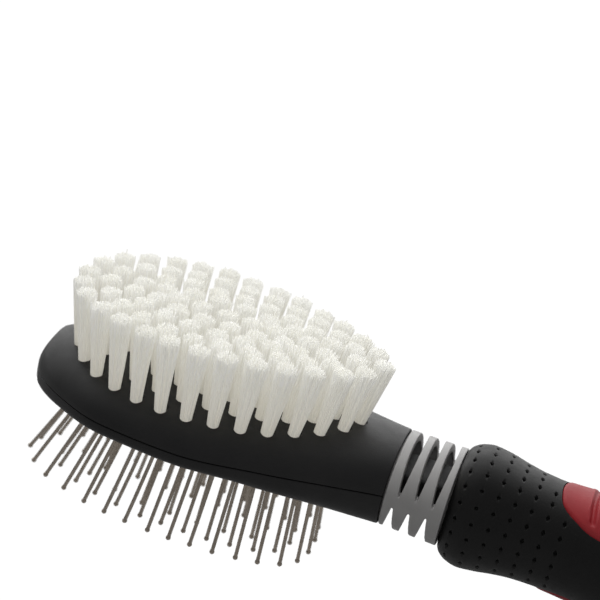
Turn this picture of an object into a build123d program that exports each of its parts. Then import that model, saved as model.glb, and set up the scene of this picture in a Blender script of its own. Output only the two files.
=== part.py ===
from build123d import *
import math
import os

# Two-sided grooming brush: an oval head with nylon tufts on its upper face and ball-tipped
# wire pins on its lower face, a ribbed flexible neck and an overmoulded handle.
#
# Frame: millimetres, +Z towards the tufts, +X along the handle from head to tail.
# The origin is the centre of the hanging hole in the handle's tail.

# ---------------------------------------------------------------- overall layout
HEAD_LENGTH = 95.0          # tip to the ring face, where the neck starts
NECK_LENGTH = 15.5          # ring face to the grip's front face
HOLE_FROM_NECK = 123.0      # hanging hole centre to neck centre

NECK_X = -HOLE_FROM_NECK                # neck centre
RING_X = NECK_X - NECK_LENGTH / 2       # head's ring face
GRIP_X = NECK_X + NECK_LENGTH / 2       # grip's front face
TIP_X = RING_X - HEAD_LENGTH
TUFT_X = NECK_X - 60.45                 # centre of the tuft field
CUSHION_X = NECK_X - 58.5               # centre of the pin cushion

# ---------------------------------------------------------------- head shape
# first column: share of the head length from the tip, called t below
OUTLINE = [(0.0, 0.0), (0.03, 10.9), (0.12, 19.8), (0.28, 27.3), (0.48, 29.1),
           (0.70, 24.1), (0.88, 18.5), (1.0, 14.85), (1.06, 13.6)]      # half width
CROWN = [(0.0, 5.7), (0.03, 7.4), (0.15, 10.0), (0.40, 10.45),
         (0.70, 9.98), (1.06, 9.98)]                                    # height of upper half
KEEL = [(0.0, 1.9), (0.03, 4.2), (0.15, 4.4), (0.35, 4.45), (0.50, 5.08), (0.60, 5.95),
        (0.70, 7.5), (0.85, 9.6), (1.0, 11.5), (1.06, 11.9)]            # depth of lower half
ROUND_END = 0.03            # the tip is rounded up to this t
CROWN_EXP = 2.12            # superellipse exponents: upper half section,
BELLY_EXP = 4.6             # lower half section at the pin window,
NECK_EXP = 2.8              # lower half section at the neck ring
BELLY_DEPTH = 4.4
UP_LEVELS = [0.0, 1.6, 3.3, 5.0, 6.6, 8.0, 9.0, 9.6]
DOWN_LEVELS = [0.0, 1.4, 2.6, 3.4, 3.9, 4.2]
LOFT_END = 1.05             # the forms run past the ring face to this t and are trimmed
KEEL_START = 0.35           # t where the keel takes over from the dish
EXP_START = 0.45            # t where the exponent starts to change towards NECK_EXP
KEEL_STATIONS = [KEEL_START, 0.42, 0.50, 0.58, 0.66, 0.74, 0.82, 0.90, 0.96, 1.0, LOFT_END]

CAVITY_END = 0.882          # t where both shell cavities end
CAVITY_INSET = 2.6          # side wall
CAVITY_TIP_SHIFT = 3.0      # tip wall
ROOF = 1.7                  # heights of the two cavities' ends
FLOOR = -2.2
POCKET_RADII = (27.0, 9.5)  # oval pocket above the upper cavity
POCKET_TOP = 4.6

PEG_R = 1.2
PEG_HOLE_R = 1.25
# pairs of pegs: x, half spacing, peg bottom and top, hole bottom and top
PEG_PAIRS = [(NECK_X - 69.5, 24.0, -3.3, ROOF + 0.4, -3.4, 1.6),
             (NECK_X - 46.5, 23.1, -3.3, ROOF + 0.4, -3.4, 1.6),
             (RING_X - 8.6, 11.9, -3.6, 0.8, -3.8, 2.2)]

# eggs: half length to the tip, half length to the neck, half width
WINDOW = (36.4, 37.2, 19.3)
FLANGE = (38.4, 39.2, 21.5)
EGG_EXPS = (2.2, 3.2)       # superellipse exponents of the tip half and the neck half
FLANGE_TOP = -1.15
FLANGE_BOTTOM = -2.15
RIB_INSET = 0.3             # rib over the flange: its outer face inside the flange's edge
RIB_WALL = 1.5

# ---------------------------------------------------------------- tufts
TUFT_TIP_EXP = 2.21         # exponent of the rings' tip half
# name, egg, exponent of the neck half, count, distance to the first tuft along the ring
TUFT_RINGS = [("tufts_outer_ring", (32.58, 40.56, 22.32), 1.634, 28, 0.345),
              ("tufts_second_ring", (26.68, 34.66, 16.82), 1.65, 23, 1.8),
              ("tufts_third_ring", (20.78, 28.76, 11.32), 1.68, 18, 3.4),
              ("tufts_fourth_ring", (15.6, 22.2, 5.9), 2.1, 13, 3.2)]
TUFT_CENTRE_ROW = [-10.25, -4.05, 2.05, 8.15, 14.25]    # x from TUFT_X
TUFT_LEAN = (-0.24, 0.0643, 0.000108)   # tip offset in x: constant, by distance, by its square
TUFT_SPREAD_Y = 1.12        # tip y over base y
TUFT_TIP_Z = 26.6
TUFT_HOLE_R = 1.55
TUFT_HOLE_DEPTH = 4.2
TUFT_ROOT_R = 1.50
TUFT_TIP_R = 2.53
TUFT_ROOT_LIFT = 1.3        # root above the hole's bottom
TUFT_STRAIGHT = 1.1         # straight part above the head, before the cone
ANCHOR_SIZE = (2.5, 0.4, 1.1)
ANCHOR_LIFT = 0.05

# ---------------------------------------------------------------- pin cushion and pins
# rows: height, share of the window's length, half width
CUSHION_OUTSIDE = [(FLANGE_TOP, 0.993, 19.05), (-2.6, 0.986, 18.8), (-4.2, 0.956, 17.8),
                   (-5.6, 0.877, 15.4), (-6.6, 0.729, 11.8), (-7.2, 0.507, 7.4),
                   (-7.4, 0.301, 4.0)]
CUSHION_INSIDE = [(FLANGE_TOP + 0.5, 0.963, 17.95), (-2.1, 0.956, 17.65), (-3.6, 0.918, 16.5),
                  (-4.9, 0.828, 14.0), (-5.75, 0.684, 10.5), (-6.25, 0.469, 6.3),
                  (-6.4, 0.276, 3.35)]
LINER_OUTSIDE = [(-2.9, 0.910, 16.2), (-3.6, 0.882, 15.4), (-4.4, 0.811, 13.4),
                 (-5.25, 0.663, 9.9), (-5.8, 0.452, 5.8), (-5.95, 0.263, 3.0)]
LINER_INSIDE = [(-2.8, 0.893, 15.6), (-3.2, 0.866, 14.8), (-3.9, 0.795, 12.8),
                (-4.75, 0.647, 9.3), (-5.3, 0.438, 5.4), (-5.45, 0.252, 2.8)]
# liner's inner face where the pin heads bear: share of SEAT_EGG, height
SEAT_EGG = (33.6, 34.4, 16.9)
SEAT_HEIGHTS = [(1.2, -2.7), (0.97, -2.8), (0.93, -3.2), (0.86, -3.9), (0.70, -4.75),
                (0.475, -5.3), (0.27, -5.45), (0.0, -5.5)]
SEAT_LIFT = 0.95            # underside of a pin head above that face

# name, egg, count, distance to the first pin along the ring
PIN_RINGS = [("pins_outer_ring", (32.0, 34.0, 15.4), 32, 2.4),
             ("pins_middle_ring", (26.0, 28.5, 10.0), 24, 4.2),
             ("pins_inner_ring", (20.0, 22.5, 4.6), 14, 2.2)]
PIN_ROOT_Z = -4.0           # height at which the rings are laid out
PIN_REACH = 24.3            # from there to the end of the ball, along the pin
PIN_CROWN_DROP = 1.6        # a pin at the centre would reach this much further
CROWN_DROP_RADII = (36.0, 18.5)         # ellipse at which that extra reach is nil
# slope in x: base, then a power law towards the tip and a capped line towards the neck
LEAN_BASE = -0.09
LEAN_SPAN = 33.0            # distance from the cushion's centre that counts as 1
LEAN_TIP, LEAN_TIP_EXP = 0.40, 1.45
LEAN_NECK, LEAN_NECK_CAP = 0.17, 0.85
LEAN_Y = 0.012              # slope in y for each mm from the centre line
WIRE_R = 0.48
BALL_R = 0.66
PIN_HEAD_R = 1.15
PIN_HEAD_T = 0.4
PIN_HOLE_R = 0.54
LINER_HOLE_R = 0.62

# ---------------------------------------------------------------- neck
NECK_HALF_WIDTH = 14.75
NECK_UP = 9.95
NECK_DOWN = (11.4, 12.2)    # lower half depth at the head and at the grip
SLEEVE_GAP = 0.35           # at each end
BORE_SCALE = 0.80           # inner section over outer section
SPIGOT_SCALE = 0.89
SOCKET_SCALE = 0.905
SPIGOT_LENGTH = 2.4
SOCKET_DEPTH = SPIGOT_LENGTH + 0.1
SLOT_PITCH = 4.25
# upper and lower slots: x from the neck centre, apex z, outer z, apex width, outer width,
# shift in x of the outer end
NECK_SLOTS = [(0.25, 0.9, 12.0, 0.35, 2.9, 0.1),
              (-0.55, -1.7, -14.0, 0.30, 3.76, -0.42)]
CORE_HALF = (7.0, 3.6)      # half width and half height
CORE_KEY_HALF = 9.4         # half width of the keys at the core's ends
CORE_KEY_LENGTH = 4.0
CORE_IN_HEAD = 9.5
CORE_IN_HANDLE = 15.0
CORE_CLEARANCE = 0.06

# ---------------------------------------------------------------- handle
# distance from the grip's front face, half height, half width, centre height
HANDLE = [(0.0, 12.1, 12.5, -1.67), (0.5, 13.0, 13.4, -1.67), (1.2, 13.7, 14.0, -1.68),
          (3.0, 14.7, 15.0, -1.70), (6.0, 15.3, 15.6, -1.74), (10.0, 14.9, 15.2, -1.78),
          (15.0, 13.95, 14.3, -1.93), (20.0, 13.3, 13.6, -2.12), (26.0, 13.05, 13.4, -2.35),
          (32.0, 13.3, 13.8, -2.5), (40.0, 14.0, 14.6, -2.7), (50.0, 14.7, 15.4, -2.85),
          (60.0, 14.9, 15.6, -2.9), (70.0, 14.4, 15.2, -2.75), (80.0, 13.2, 14.3, -2.35),
          (90.0, 11.3, 13.2, -1.7), (98.0, 9.5, 12.5, -1.05), (106.0, 7.9, 12.3, -0.45),
          (113.0, 6.9, 12.3, -0.1), (119.0, 6.3, 11.2, 0.0), (123.0, 5.7, 8.9, 0.0),
          (125.6, 4.7, 6.2, 0.0), (127.25, 3.0, 3.0, 0.0)]
HANDLE_EXP = 2.2
OUTER_STATIONS = [0.0, 0.6, 1.6, 3.0, 5.0, 7.5, 11.0, 16.0, 22.0, 30.0, 40.0, 52.0, 64.0, 76.0,
                  88.0, 98.0, 106.0, 113.0, 118.0, 121.5, 124.0, 125.9, 127.25]
INNER_STATIONS = [2.0, 5.0, 10.0, 16.0, 23.0, 32.0, 45.0, 60.0, 75.0, 88.0, 98.0, 104.0]
GRIP_WALL = 2.2
GRIP_END = 98.0             # the rubber ends here and the core's tail is bare
HANG_HOLE_R = 4.0
# pad outlines in plan: distance from the grip's front face, half width
THUMB_OUTLINE = [(24.8, 0.0), (25.5, 5.0), (27.0, 7.3), (30.0, 9.2), (34.0, 10.9),
                 (40.0, 12.0), (47.0, 12.3), (55.0, 11.6), (64.0, 9.8), (73.0, 7.3),
                 (80.0, 4.6), (83.5, 2.3), (84.5, 0.0)]
FINGER_OUTLINE = [(24.3, 0.0), (25.1, 4.6), (27.0, 7.6), (30.6, 9.5), (36.0, 10.5),
                  (43.0, 10.8), (50.0, 10.5), (60.0, 9.0), (69.0, 6.6), (75.0, 4.0),
                  (77.6, 1.9), (78.5, 0.0)]
THUMB_GROOVES = [34.0, 41.0, 48.0, 55.0, 62.0, 69.0]
GROOVE_W = 1.3
GROOVE_D = 0.8


# ---------------------------------------------------------------- helpers
def smooth(table, x, column=1):
    """Monotone cubic through one column of a table whose first column is x."""
    xs = [row[0] for row in table]
    ys = [row[column] for row in table]
    if x <= xs[0]:
        return ys[0]
    if x >= xs[-1]:
        return ys[-1]
    spans = range(len(table) - 1)
    step = [xs[i + 1] - xs[i] for i in spans]
    slope = [(ys[i + 1] - ys[i]) / step[i] for i in spans]
    tangent = [slope[0]] + [0.0] * (len(table) - 2) + [slope[-1]]
    for i in spans[1:]:
        if slope[i - 1] * slope[i] > 0:
            before = 2 * step[i] + step[i - 1]
            after = step[i] + 2 * step[i - 1]
            tangent[i] = (before + after) / (before / slope[i - 1] + after / slope[i])
    i = max(k for k in spans if xs[k] <= x)
    u = (x - xs[i]) / step[i]
    return ((2 * u**3 - 3 * u**2 + 1) * ys[i]
            + (u**3 - 2 * u**2 + u) * step[i] * tangent[i]
            + (-2 * u**3 + 3 * u**2) * ys[i + 1]
            + (u**3 - u**2) * step[i] * tangent[i + 1])


def signed_power(value, exponent):
    """Superellipse coordinate from a cosine or sine."""
    return math.copysign(abs(value) ** (2 / exponent), value)


def largest(shape):
    return max(shape.solids(), key=lambda solid: solid.volume)


def block(x0, x1, y0, y1, z0, z1):
    return Solid.make_box(x1 - x0, y1 - y0, z1 - z0, Plane(origin=(x0, y0, z0)))


def rod(base, direction, radius, length):
    return Solid.make_cylinder(radius, length, Plane(origin=base, z_dir=direction))


def post(x, y, z0, z1, radius):
    return rod((x, y, z0), (0, 0, 1), radius, z1 - z0)


def prism(wire, height):
    return Solid.extrude(Face(wire), Vector(0, 0, height))


def closed_by_line(points):
    """A spline through the points, closed by a straight line."""
    return Wire([Edge.make_spline(points), Edge.make_line(points[-1], points[0])])


def oval_section(x, half_width, up, down, centre_z, exp_up, exp_down, count=24):
    """Closed superellipse in the YZ plane."""
    points = []
    for k in range(count):
        angle = 2 * math.pi * k / count
        c, s = math.cos(angle), math.sin(angle)
        exponent, height = (exp_up, up) if s >= 0 else (exp_down, down)
        y = signed_power(c, exponent) * half_width
        z = signed_power(s, exponent) * height
        points.append(Vector(x, y, z + centre_z))
    return Wire([Edge.make_spline(points, periodic=True)])


def egg_point(angle, centre_x, egg, exps):
    """Point on an egg, a superellipse half each way; angle 0 is its tip end."""
    to_tip, to_neck, half_width = egg
    c, s = math.cos(angle), math.sin(angle)
    exponent, length = (exps[0], to_tip) if c > 0 else (exps[1], to_neck)
    return centre_x - signed_power(c, exponent) * length, signed_power(s, exponent) * half_width


def egg_wire(egg, z, count=56):
    """Egg outline about the cushion's centre."""
    angles = [2 * math.pi * (k + 0.5) / count for k in range(count)]
    points = [Vector(*egg_point(angle, CUSHION_X, egg, EGG_EXPS), z) for angle in angles]
    return Wire([Edge.make_spline(points, periodic=True)])


def egg_prism(egg, z0, z1):
    return prism(egg_wire(egg, z0), z1 - z0)


def shrunk(egg, inset):
    return tuple(size - inset for size in egg)


def egg_ring(centre_x, egg, exps, count, start, steps=1440):
    """Places at equal steps along an egg, from its tip end towards -Y."""
    angles = [2 * math.pi * k / steps for k in range(steps + 1)]
    curve = [(x, -y) for x, y in (egg_point(a, centre_x, egg, exps) for a in angles)]
    run = [0.0]
    for here, there in zip(curve, curve[1:]):
        run.append(run[-1] + math.hypot(there[0] - here[0], there[1] - here[1]))
    places = []
    for i in range(count):
        want = (start + i * run[-1] / count) % run[-1]
        j = next(k for k in range(steps) if run[k] <= want <= run[k + 1])
        share = (want - run[j]) / (run[j + 1] - run[j])
        (x0, y0), (x1, y1) = curve[j], curve[j + 1]
        places.append((x0 + share * (x1 - x0), y0 + share * (y1 - y0)))
    return places


# ---------------------------------------------------------------- head forms
# interpolated over the root of t, so that the outline starts round at the tip
ROOTED_OUTLINE = [(math.sqrt(t), width) for t, width in OUTLINE]


def head_half_width(t):
    return smooth(ROOTED_OUTLINE, math.sqrt(t))


def tip_round(t):
    return math.sqrt(min(1.0, t / ROUND_END))


def crown(t):
    return smooth(CROWN, t) * tip_round(t)


def belly(t):
    return BELLY_DEPTH * tip_round(t)


def head_wire(z, start, end, width_share=lambda t: 1.0, inset=0.0, tip_shift=0.0, count=22):
    """Plan outline from the neck end round the tip and back, between two values of t."""
    side = [(TIP_X + start * HEAD_LENGTH + tip_shift, 0.0)]
    for k in range(1, count + 1):
        s = k / count
        t = start + (end - start) * s**1.9
        half_width = head_half_width(t) * width_share(t) - inset * min(1.0, s * 6)
        side.append((TIP_X + t * HEAD_LENGTH + tip_shift * (1 - s), max(half_width, 0.0)))
    return closed_by_line([Vector(x, -y, z) for x, y in reversed(side)]
                          + [Vector(x, y, z) for x, y in side[1:]])


def level_outline(z, height_of, exponent):
    """Outline of the head at height z, for a half with this height along t."""
    depth = abs(z)
    low, high = 0.0, 0.5
    for _ in range(60):     # bisect for the t where the half reaches this depth
        middle = (low + high) / 2
        if height_of(middle) > depth:
            high = middle
        else:
            low = middle

    def width_share(t):
        height = height_of(t)
        if height <= depth:
            return 0.0
        return max(0.0, 1.0 - (depth / height) ** exponent) ** (1.0 / exponent)

    return head_wire(z, high, LOFT_END, width_share)


def keel_section(t, count=24):
    """Lower half section of the head across X."""
    half_width, depth = head_half_width(t), smooth(KEEL, t)
    share = min(1.0, max(0.0, (t - EXP_START) / (1.0 - EXP_START)))
    exponent = BELLY_EXP + (NECK_EXP - BELLY_EXP) * share**0.6
    points = []
    for k in range(count + 1):
        angle = math.pi * k / count
        y = -signed_power(math.cos(angle), exponent) * half_width
        z = -depth * math.sin(angle) ** (2 / exponent) if 0 < k < count else 0.0
        points.append(Vector(TIP_X + t * HEAD_LENGTH, y, z))
    return closed_by_line(points)


def trim_at_ring(form):
    return largest(form & block(TIP_X - 5, RING_X, -40, 40, -30, 30))


def make_upper_form():
    return trim_at_ring(Solid.make_loft([level_outline(z, crown, CROWN_EXP) for z in UP_LEVELS]))


def make_lower_form():
    """Flat dish at the tip, joined to a keel that deepens towards the neck."""
    dish = Solid.make_loft([level_outline(-z, belly, BELLY_EXP) for z in DOWN_LEVELS])
    keel = Solid.make_loft([keel_section(t) for t in KEEL_STATIONS])
    split_x = TIP_X + KEEL_START * HEAD_LENGTH
    dish_front = largest(dish & block(TIP_X - 5, split_x, -40, 40, -20, 5))
    return trim_at_ring(largest(dish_front + keel))


def head_cavity(z0, z1):
    return Solid.make_loft([head_wire(z, 0.0, CAVITY_END, inset=CAVITY_INSET,
                                      tip_shift=CAVITY_TIP_SHIFT) for z in (z0, z1)])


# ---------------------------------------------------------------- neck forms
def core_form(clearance=0.0):
    """Flat bar with a wider key at each end."""
    y, z = CORE_HALF[0] + clearance, CORE_HALF[1] + clearance
    key_y = CORE_KEY_HALF + clearance
    key_length = CORE_KEY_LENGTH + clearance
    x0, x1 = RING_X - CORE_IN_HEAD, GRIP_X + CORE_IN_HANDLE
    bar = block(x0 - clearance, x1 + clearance, -y, y, -z, z)
    head_key = block(x0 - clearance, x0 + key_length, -key_y, key_y, -z, z)
    handle_key = block(x1 - key_length, x1 + clearance, -key_y, key_y, -z, z)
    return largest(bar + head_key + handle_key)


def neck_section(x, scale):
    share = min(1.0, max(0.0, (x - RING_X) / NECK_LENGTH))
    down = NECK_DOWN[0] + (NECK_DOWN[1] - NECK_DOWN[0]) * share
    return oval_section(x, NECK_HALF_WIDTH * scale, NECK_UP * scale, down * scale, 0.0,
                        CROWN_EXP, NECK_EXP)


def neck_plug(x0, x1, scale):
    return Solid.make_loft([neck_section(x, scale) for x in (x0, (x0 + x1) / 2, x1)])


core_space = core_form(CORE_CLEARANCE)
head_socket = neck_plug(RING_X - SOCKET_DEPTH, RING_X + 1.0, SOCKET_SCALE)
handle_socket = neck_plug(GRIP_X - 1.0, GRIP_X + SOCKET_DEPTH, SOCKET_SCALE)


# ---------------------------------------------------------------- tufts
def head_surface_z(x, y):
    t = (x - TIP_X) / HEAD_LENGTH
    across = min(abs(y) / head_half_width(t), 0.999)
    return min(crown(t) * (1 - across**CROWN_EXP) ** (1 / CROWN_EXP), UP_LEVELS[-1])


def make_tuft(x, y):
    """The tuft at a place on the head, its anchor and the cutter for its hole."""
    distance = x - TUFT_X
    constant, linear, square = TUFT_LEAN
    base = Vector(x, y, head_surface_z(x, y))
    tip = Vector(x + constant + linear * distance + square * distance * distance,
                 y * TUFT_SPREAD_Y, TUFT_TIP_Z)
    axis = (tip - base).normalized()
    length = (tip - base).length
    bottom = base - axis * TUFT_HOLE_DEPTH
    hole = rod(bottom, axis, TUFT_HOLE_R, TUFT_HOLE_DEPTH + 3.0)

    anchor = Solid.make_box(*ANCHOR_SIZE, Plane(origin=bottom, x_dir=(0, 1, 0), z_dir=axis))
    anchor_centre = bottom + axis * (ANCHOR_LIFT + ANCHOR_SIZE[2] / 2)
    anchor = anchor.moved(Location(anchor_centre - anchor.center()))

    root = rod(bottom + axis * TUFT_ROOT_LIFT, axis, TUFT_ROOT_R,
               TUFT_HOLE_DEPTH - TUFT_ROOT_LIFT + TUFT_STRAIGHT)
    cone = Solid.make_cone(TUFT_ROOT_R, TUFT_TIP_R, length - TUFT_STRAIGHT,
                           Plane(origin=base + axis * TUFT_STRAIGHT, z_dir=axis))
    return largest(root + cone), anchor, hole


tuft_places = {name: egg_ring(TUFT_X, egg, (TUFT_TIP_EXP, neck_exp), count, start)
               for name, egg, neck_exp, count, start in TUFT_RINGS}
tuft_places["tufts_centre_row"] = [(TUFT_X + offset, 0.0) for offset in TUFT_CENTRE_ROW]

tufts, tuft_anchors, tuft_holes = {}, [], []
for name, places in tuft_places.items():
    tufts[name] = []
    for x, y in places:
        tuft, anchor, hole = make_tuft(x, y)
        tufts[name].append(tuft)
        tuft_anchors.append(anchor)
        tuft_holes.append(hole)


# ---------------------------------------------------------------- head shells
def make_bristle_shell():
    pocket_edge = Edge.make_ellipse(*POCKET_RADII, Plane(origin=(TUFT_X, 0, -1.0)))
    pocket = prism(Wire([pocket_edge]), POCKET_TOP + 1.0)
    rib = largest(egg_prism(shrunk(FLANGE, RIB_INSET), FLANGE_TOP + 0.02, ROOF + 0.3)
                  - egg_prism(shrunk(FLANGE, RIB_INSET + RIB_WALL), FLANGE_TOP - 1, ROOF + 1))
    shell = make_upper_form() - head_cavity(-1.0, ROOF) - pocket
    shell = largest(shell) + rib
    for x, spacing, bottom, top, _, _ in PEG_PAIRS:
        for y in (spacing, -spacing):
            shell = shell + post(x, y, bottom, top, PEG_R)
    shell = largest(shell) - head_socket - core_space
    return largest(largest(shell).cut(*tuft_holes))


def make_pin_shell():
    shell = make_lower_form() - head_cavity(1.0, FLOOR) - egg_prism(WINDOW, -18.0, 1.0)
    for x, spacing, _, _, bottom, top in PEG_PAIRS:
        for y in (spacing, -spacing):
            shell = shell - post(x, y, bottom, top, PEG_HOLE_R)
    return largest(largest(shell) - head_socket - core_space)


# ---------------------------------------------------------------- pins, cushion, liner
def seat_z(x, y):
    """Liner's inner face at a place, by linear steps through SEAT_HEIGHTS."""
    to_tip, to_neck, half_width = SEAT_EGG
    exponent, length = (EGG_EXPS[0], to_tip) if x < CUSHION_X else (EGG_EXPS[1], to_neck)
    along, across = abs((x - CUSHION_X) / length), abs(y / half_width)
    share = (along**exponent + across**exponent) ** (1 / exponent)
    (share1, z1), (share0, z0) = next(
        rows for rows in zip(SEAT_HEIGHTS, SEAT_HEIGHTS[1:]) if rows[1][0] <= share)
    return z0 + (z1 - z0) * (share - share0) / (share1 - share0)


def pin_direction(x, y):
    s = (x - CUSHION_X) / LEAN_SPAN
    if s < 0:
        slope = LEAN_BASE - LEAN_TIP * min(1.0, -s) ** LEAN_TIP_EXP
    else:
        slope = LEAN_BASE + LEAN_NECK * min(s, LEAN_NECK_CAP)
    return Vector(slope, LEAN_Y * y, -1.0).normalized()


def make_pin(x, y):
    """The pin at a place on the cushion and the cutters for its cushion and liner holes."""
    down = pin_direction(x, y)
    rise = seat_z(x, y) + SEAT_LIFT - PIN_ROOT_Z
    seat = Vector(x, y, PIN_ROOT_Z) + down * (rise / down.Z)
    edge = math.hypot((x - CUSHION_X) / CROWN_DROP_RADII[0], y / CROWN_DROP_RADII[1])
    extra = PIN_CROWN_DROP * max(0.0, 1 - edge**2)
    length = PIN_REACH + extra - BALL_R + rise / -down.Z
    head = rod(seat - down * PIN_HEAD_T, down, PIN_HEAD_R, PIN_HEAD_T + 0.01)
    wire = rod(seat, down, WIRE_R, length)
    ball = Solid.make_sphere(BALL_R, Plane(origin=seat + down * length))
    cushion_hole = rod(seat - down * 2.0, down, PIN_HOLE_R, 16.0)
    liner_hole = rod(seat - down * 1.8, down, LINER_HOLE_R, 15.0)
    return largest(head + wire + ball), cushion_hole, liner_hole


pins, cushion_holes, liner_holes = {}, [], []
for name, egg, count, start in PIN_RINGS:
    pins[name] = []
    for x, y in egg_ring(CUSHION_X, egg, EGG_EXPS, count, start):
        pin, cushion_hole, liner_hole = make_pin(x, y)
        pins[name].append(pin)
        cushion_holes.append(cushion_hole)
        liner_holes.append(liner_hole)


def dome(rows):
    return Solid.make_loft([egg_wire((WINDOW[0] * share, WINDOW[1] * share, half_width), z)
                            for z, share, half_width in rows])


def make_pin_cushion():
    flange = egg_prism(FLANGE, FLANGE_BOTTOM, FLANGE_TOP)
    cushion = largest(largest(flange + dome(CUSHION_OUTSIDE)) - dome(CUSHION_INSIDE))
    return largest(cushion.cut(*cushion_holes))


def make_cushion_liner():
    return largest(largest(dome(LINER_OUTSIDE) - dome(LINER_INSIDE)).cut(*liner_holes))


# ---------------------------------------------------------------- neck sleeve
def slot_wedge(x, apex_z, outer_z, apex_width, outer_width, shift):
    corners = [Vector(x - apex_width / 2, -30, apex_z),
               Vector(x + apex_width / 2, -30, apex_z),
               Vector(x + shift + outer_width / 2, -30, outer_z),
               Vector(x + shift - outer_width / 2, -30, outer_z)]
    return Solid.extrude(Face(Wire.make_polygon(corners, close=True)), Vector(0, 60, 0))


def make_neck_sleeve():
    x0, x1 = RING_X + SLEEVE_GAP, GRIP_X - SLEEVE_GAP
    body = neck_plug(x0, x1, 1.0)
    spigots = neck_plug(RING_X - SPIGOT_LENGTH, GRIP_X + SPIGOT_LENGTH, SPIGOT_SCALE)
    sleeve = largest(body + spigots) - neck_plug(x0 - 10, x1 + 10, BORE_SCALE)
    for i in (-1, 0, 1):
        for offset, *shape in NECK_SLOTS:
            sleeve = sleeve - slot_wedge(NECK_X + offset + i * SLOT_PITCH, *shape)
    return largest(sleeve)


# ---------------------------------------------------------------- handle
def handle_section(station, inset, x_shift=0.0):
    """Section at a station, set in by inset, and placed x_shift further along."""
    half_height, half_width, centre_z = (smooth(HANDLE, station, column) for column in (1, 2, 3))
    height = half_height - inset
    return oval_section(GRIP_X + station + x_shift, half_width - inset, height, height,
                        centre_z, HANDLE_EXP, HANDLE_EXP)


def handle_form(stations, inset=0.0):
    return Solid.make_loft([handle_section(station, inset) for station in stations])


handle_outer = handle_form(OUTER_STATIONS)
handle_inner = handle_form(INNER_STATIONS, GRIP_WALL)
grip_zone = block(GRIP_X - 5, GRIP_X + GRIP_END, -40, 40, -40, 40)
tail_zone = block(GRIP_X + GRIP_END, GRIP_X + 140, -40, 40, -40, 40)


def make_handle_core():
    tail = largest(handle_outer & tail_zone)
    core = largest(largest(handle_inner & grip_zone) + tail)
    core = core - core_space - handle_socket
    return largest(core - post(0, 0, -20, 20, HANG_HOLE_R))


def pad_zone(outline, z0, z1):
    """Prism over a pad outline mirrored in the XZ plane."""
    points = [Vector(GRIP_X + x, -y, z0) for x, y in outline]
    points += [Vector(GRIP_X + x, y, z0) for x, y in reversed(outline[1:-1])]
    return prism(Wire([Edge.make_spline(points, periodic=True)]), z1 - z0)


def groove_ring(station):
    disc = rod((GRIP_X + station - GROOVE_W / 2, 0, 0), (1, 0, 0), 40, GROOVE_W)
    kept = Solid.make_loft([handle_section(station, GROOVE_D, shift) for shift in (-2, 2)])
    return largest(disc - kept)


def make_rubber_parts():
    """Grip sleeve, thumb pad on top and finger pad below, divided from one rubber body."""
    rubber = largest(largest(handle_outer & grip_zone) - handle_inner)
    rubber = largest(rubber - handle_socket - core_space)
    thumb_zone = pad_zone(THUMB_OUTLINE, 2.0, 30.0)
    finger_zone = pad_zone(FINGER_OUTLINE, -30.0, -6.0)
    thumb_pad = largest(rubber & thumb_zone)
    finger_pad = largest(rubber & finger_zone)
    sleeve = largest(rubber - thumb_zone - finger_zone)
    for station in THUMB_GROOVES:
        thumb_pad = thumb_pad - groove_ring(station)
    return sleeve, largest(thumb_pad), finger_pad


# ---------------------------------------------------------------- write every piece
grip_sleeve, thumb_pad, finger_pad = make_rubber_parts()
parts = {
    "bristle_shell": [make_bristle_shell()],
    "pin_shell": [make_pin_shell()],
    "tuft_anchors": tuft_anchors,
    "pin_cushion": [make_pin_cushion()],
    "cushion_liner": [make_cushion_liner()],
    "neck_sleeve": [make_neck_sleeve()],
    "neck_core": [core_form()],
    "handle_core": [make_handle_core()],
    "grip_sleeve": [grip_sleeve],
    "thumb_pad": [thumb_pad],
    "finger_pad": [finger_pad],
    **tufts,
    **pins,
}

os.makedirs("parts", exist_ok=True)
for name, solids in parts.items():
    shape = solids[0] if len(solids) == 1 else Compound(children=solids)
    export_step(shape, f"parts/{name}.step")
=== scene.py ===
"""A two-sided hair brush, its looks built over the CAD pieces.

The brush lies along X: the head's tip is at the -X end, then come the flexible neck and the grip,
and the hanging hole stands on the origin. Nylon tufts point up (+Z), steel pins point down (-Z),
and Y runs across. Shapes are worked out in millimetres and stored in metres.
"""
import bpy
import bmesh
import math
import numpy as np
from mathutils import Matrix, Vector


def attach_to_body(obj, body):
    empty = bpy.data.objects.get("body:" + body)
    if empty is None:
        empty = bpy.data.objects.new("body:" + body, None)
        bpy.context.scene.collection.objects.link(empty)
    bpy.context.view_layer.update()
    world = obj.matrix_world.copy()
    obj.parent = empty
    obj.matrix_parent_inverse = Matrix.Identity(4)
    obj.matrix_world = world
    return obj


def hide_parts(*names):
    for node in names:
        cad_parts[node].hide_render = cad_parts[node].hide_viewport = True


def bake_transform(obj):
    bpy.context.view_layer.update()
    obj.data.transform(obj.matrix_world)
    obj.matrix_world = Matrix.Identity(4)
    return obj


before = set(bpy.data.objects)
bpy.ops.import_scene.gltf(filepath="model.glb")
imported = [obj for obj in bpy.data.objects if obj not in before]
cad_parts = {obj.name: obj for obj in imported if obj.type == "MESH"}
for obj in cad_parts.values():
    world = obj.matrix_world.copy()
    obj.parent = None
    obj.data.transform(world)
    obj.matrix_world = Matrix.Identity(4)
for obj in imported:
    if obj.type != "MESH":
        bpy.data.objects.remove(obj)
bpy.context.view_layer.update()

# ---------------------------------------------------------------- main sizes, millimetres
MM = 0.001                          # metres in a millimetre
HEAD_LENGTH = 95.0
NECK_LENGTH = 15.5
NECK_X = -123.0                     # middle of the neck
RING_X = NECK_X - NECK_LENGTH / 2   # where head and neck meet
GRIP_X = NECK_X + NECK_LENGTH / 2   # where neck and grip meet
TIP_X = RING_X - HEAD_LENGTH

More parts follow.
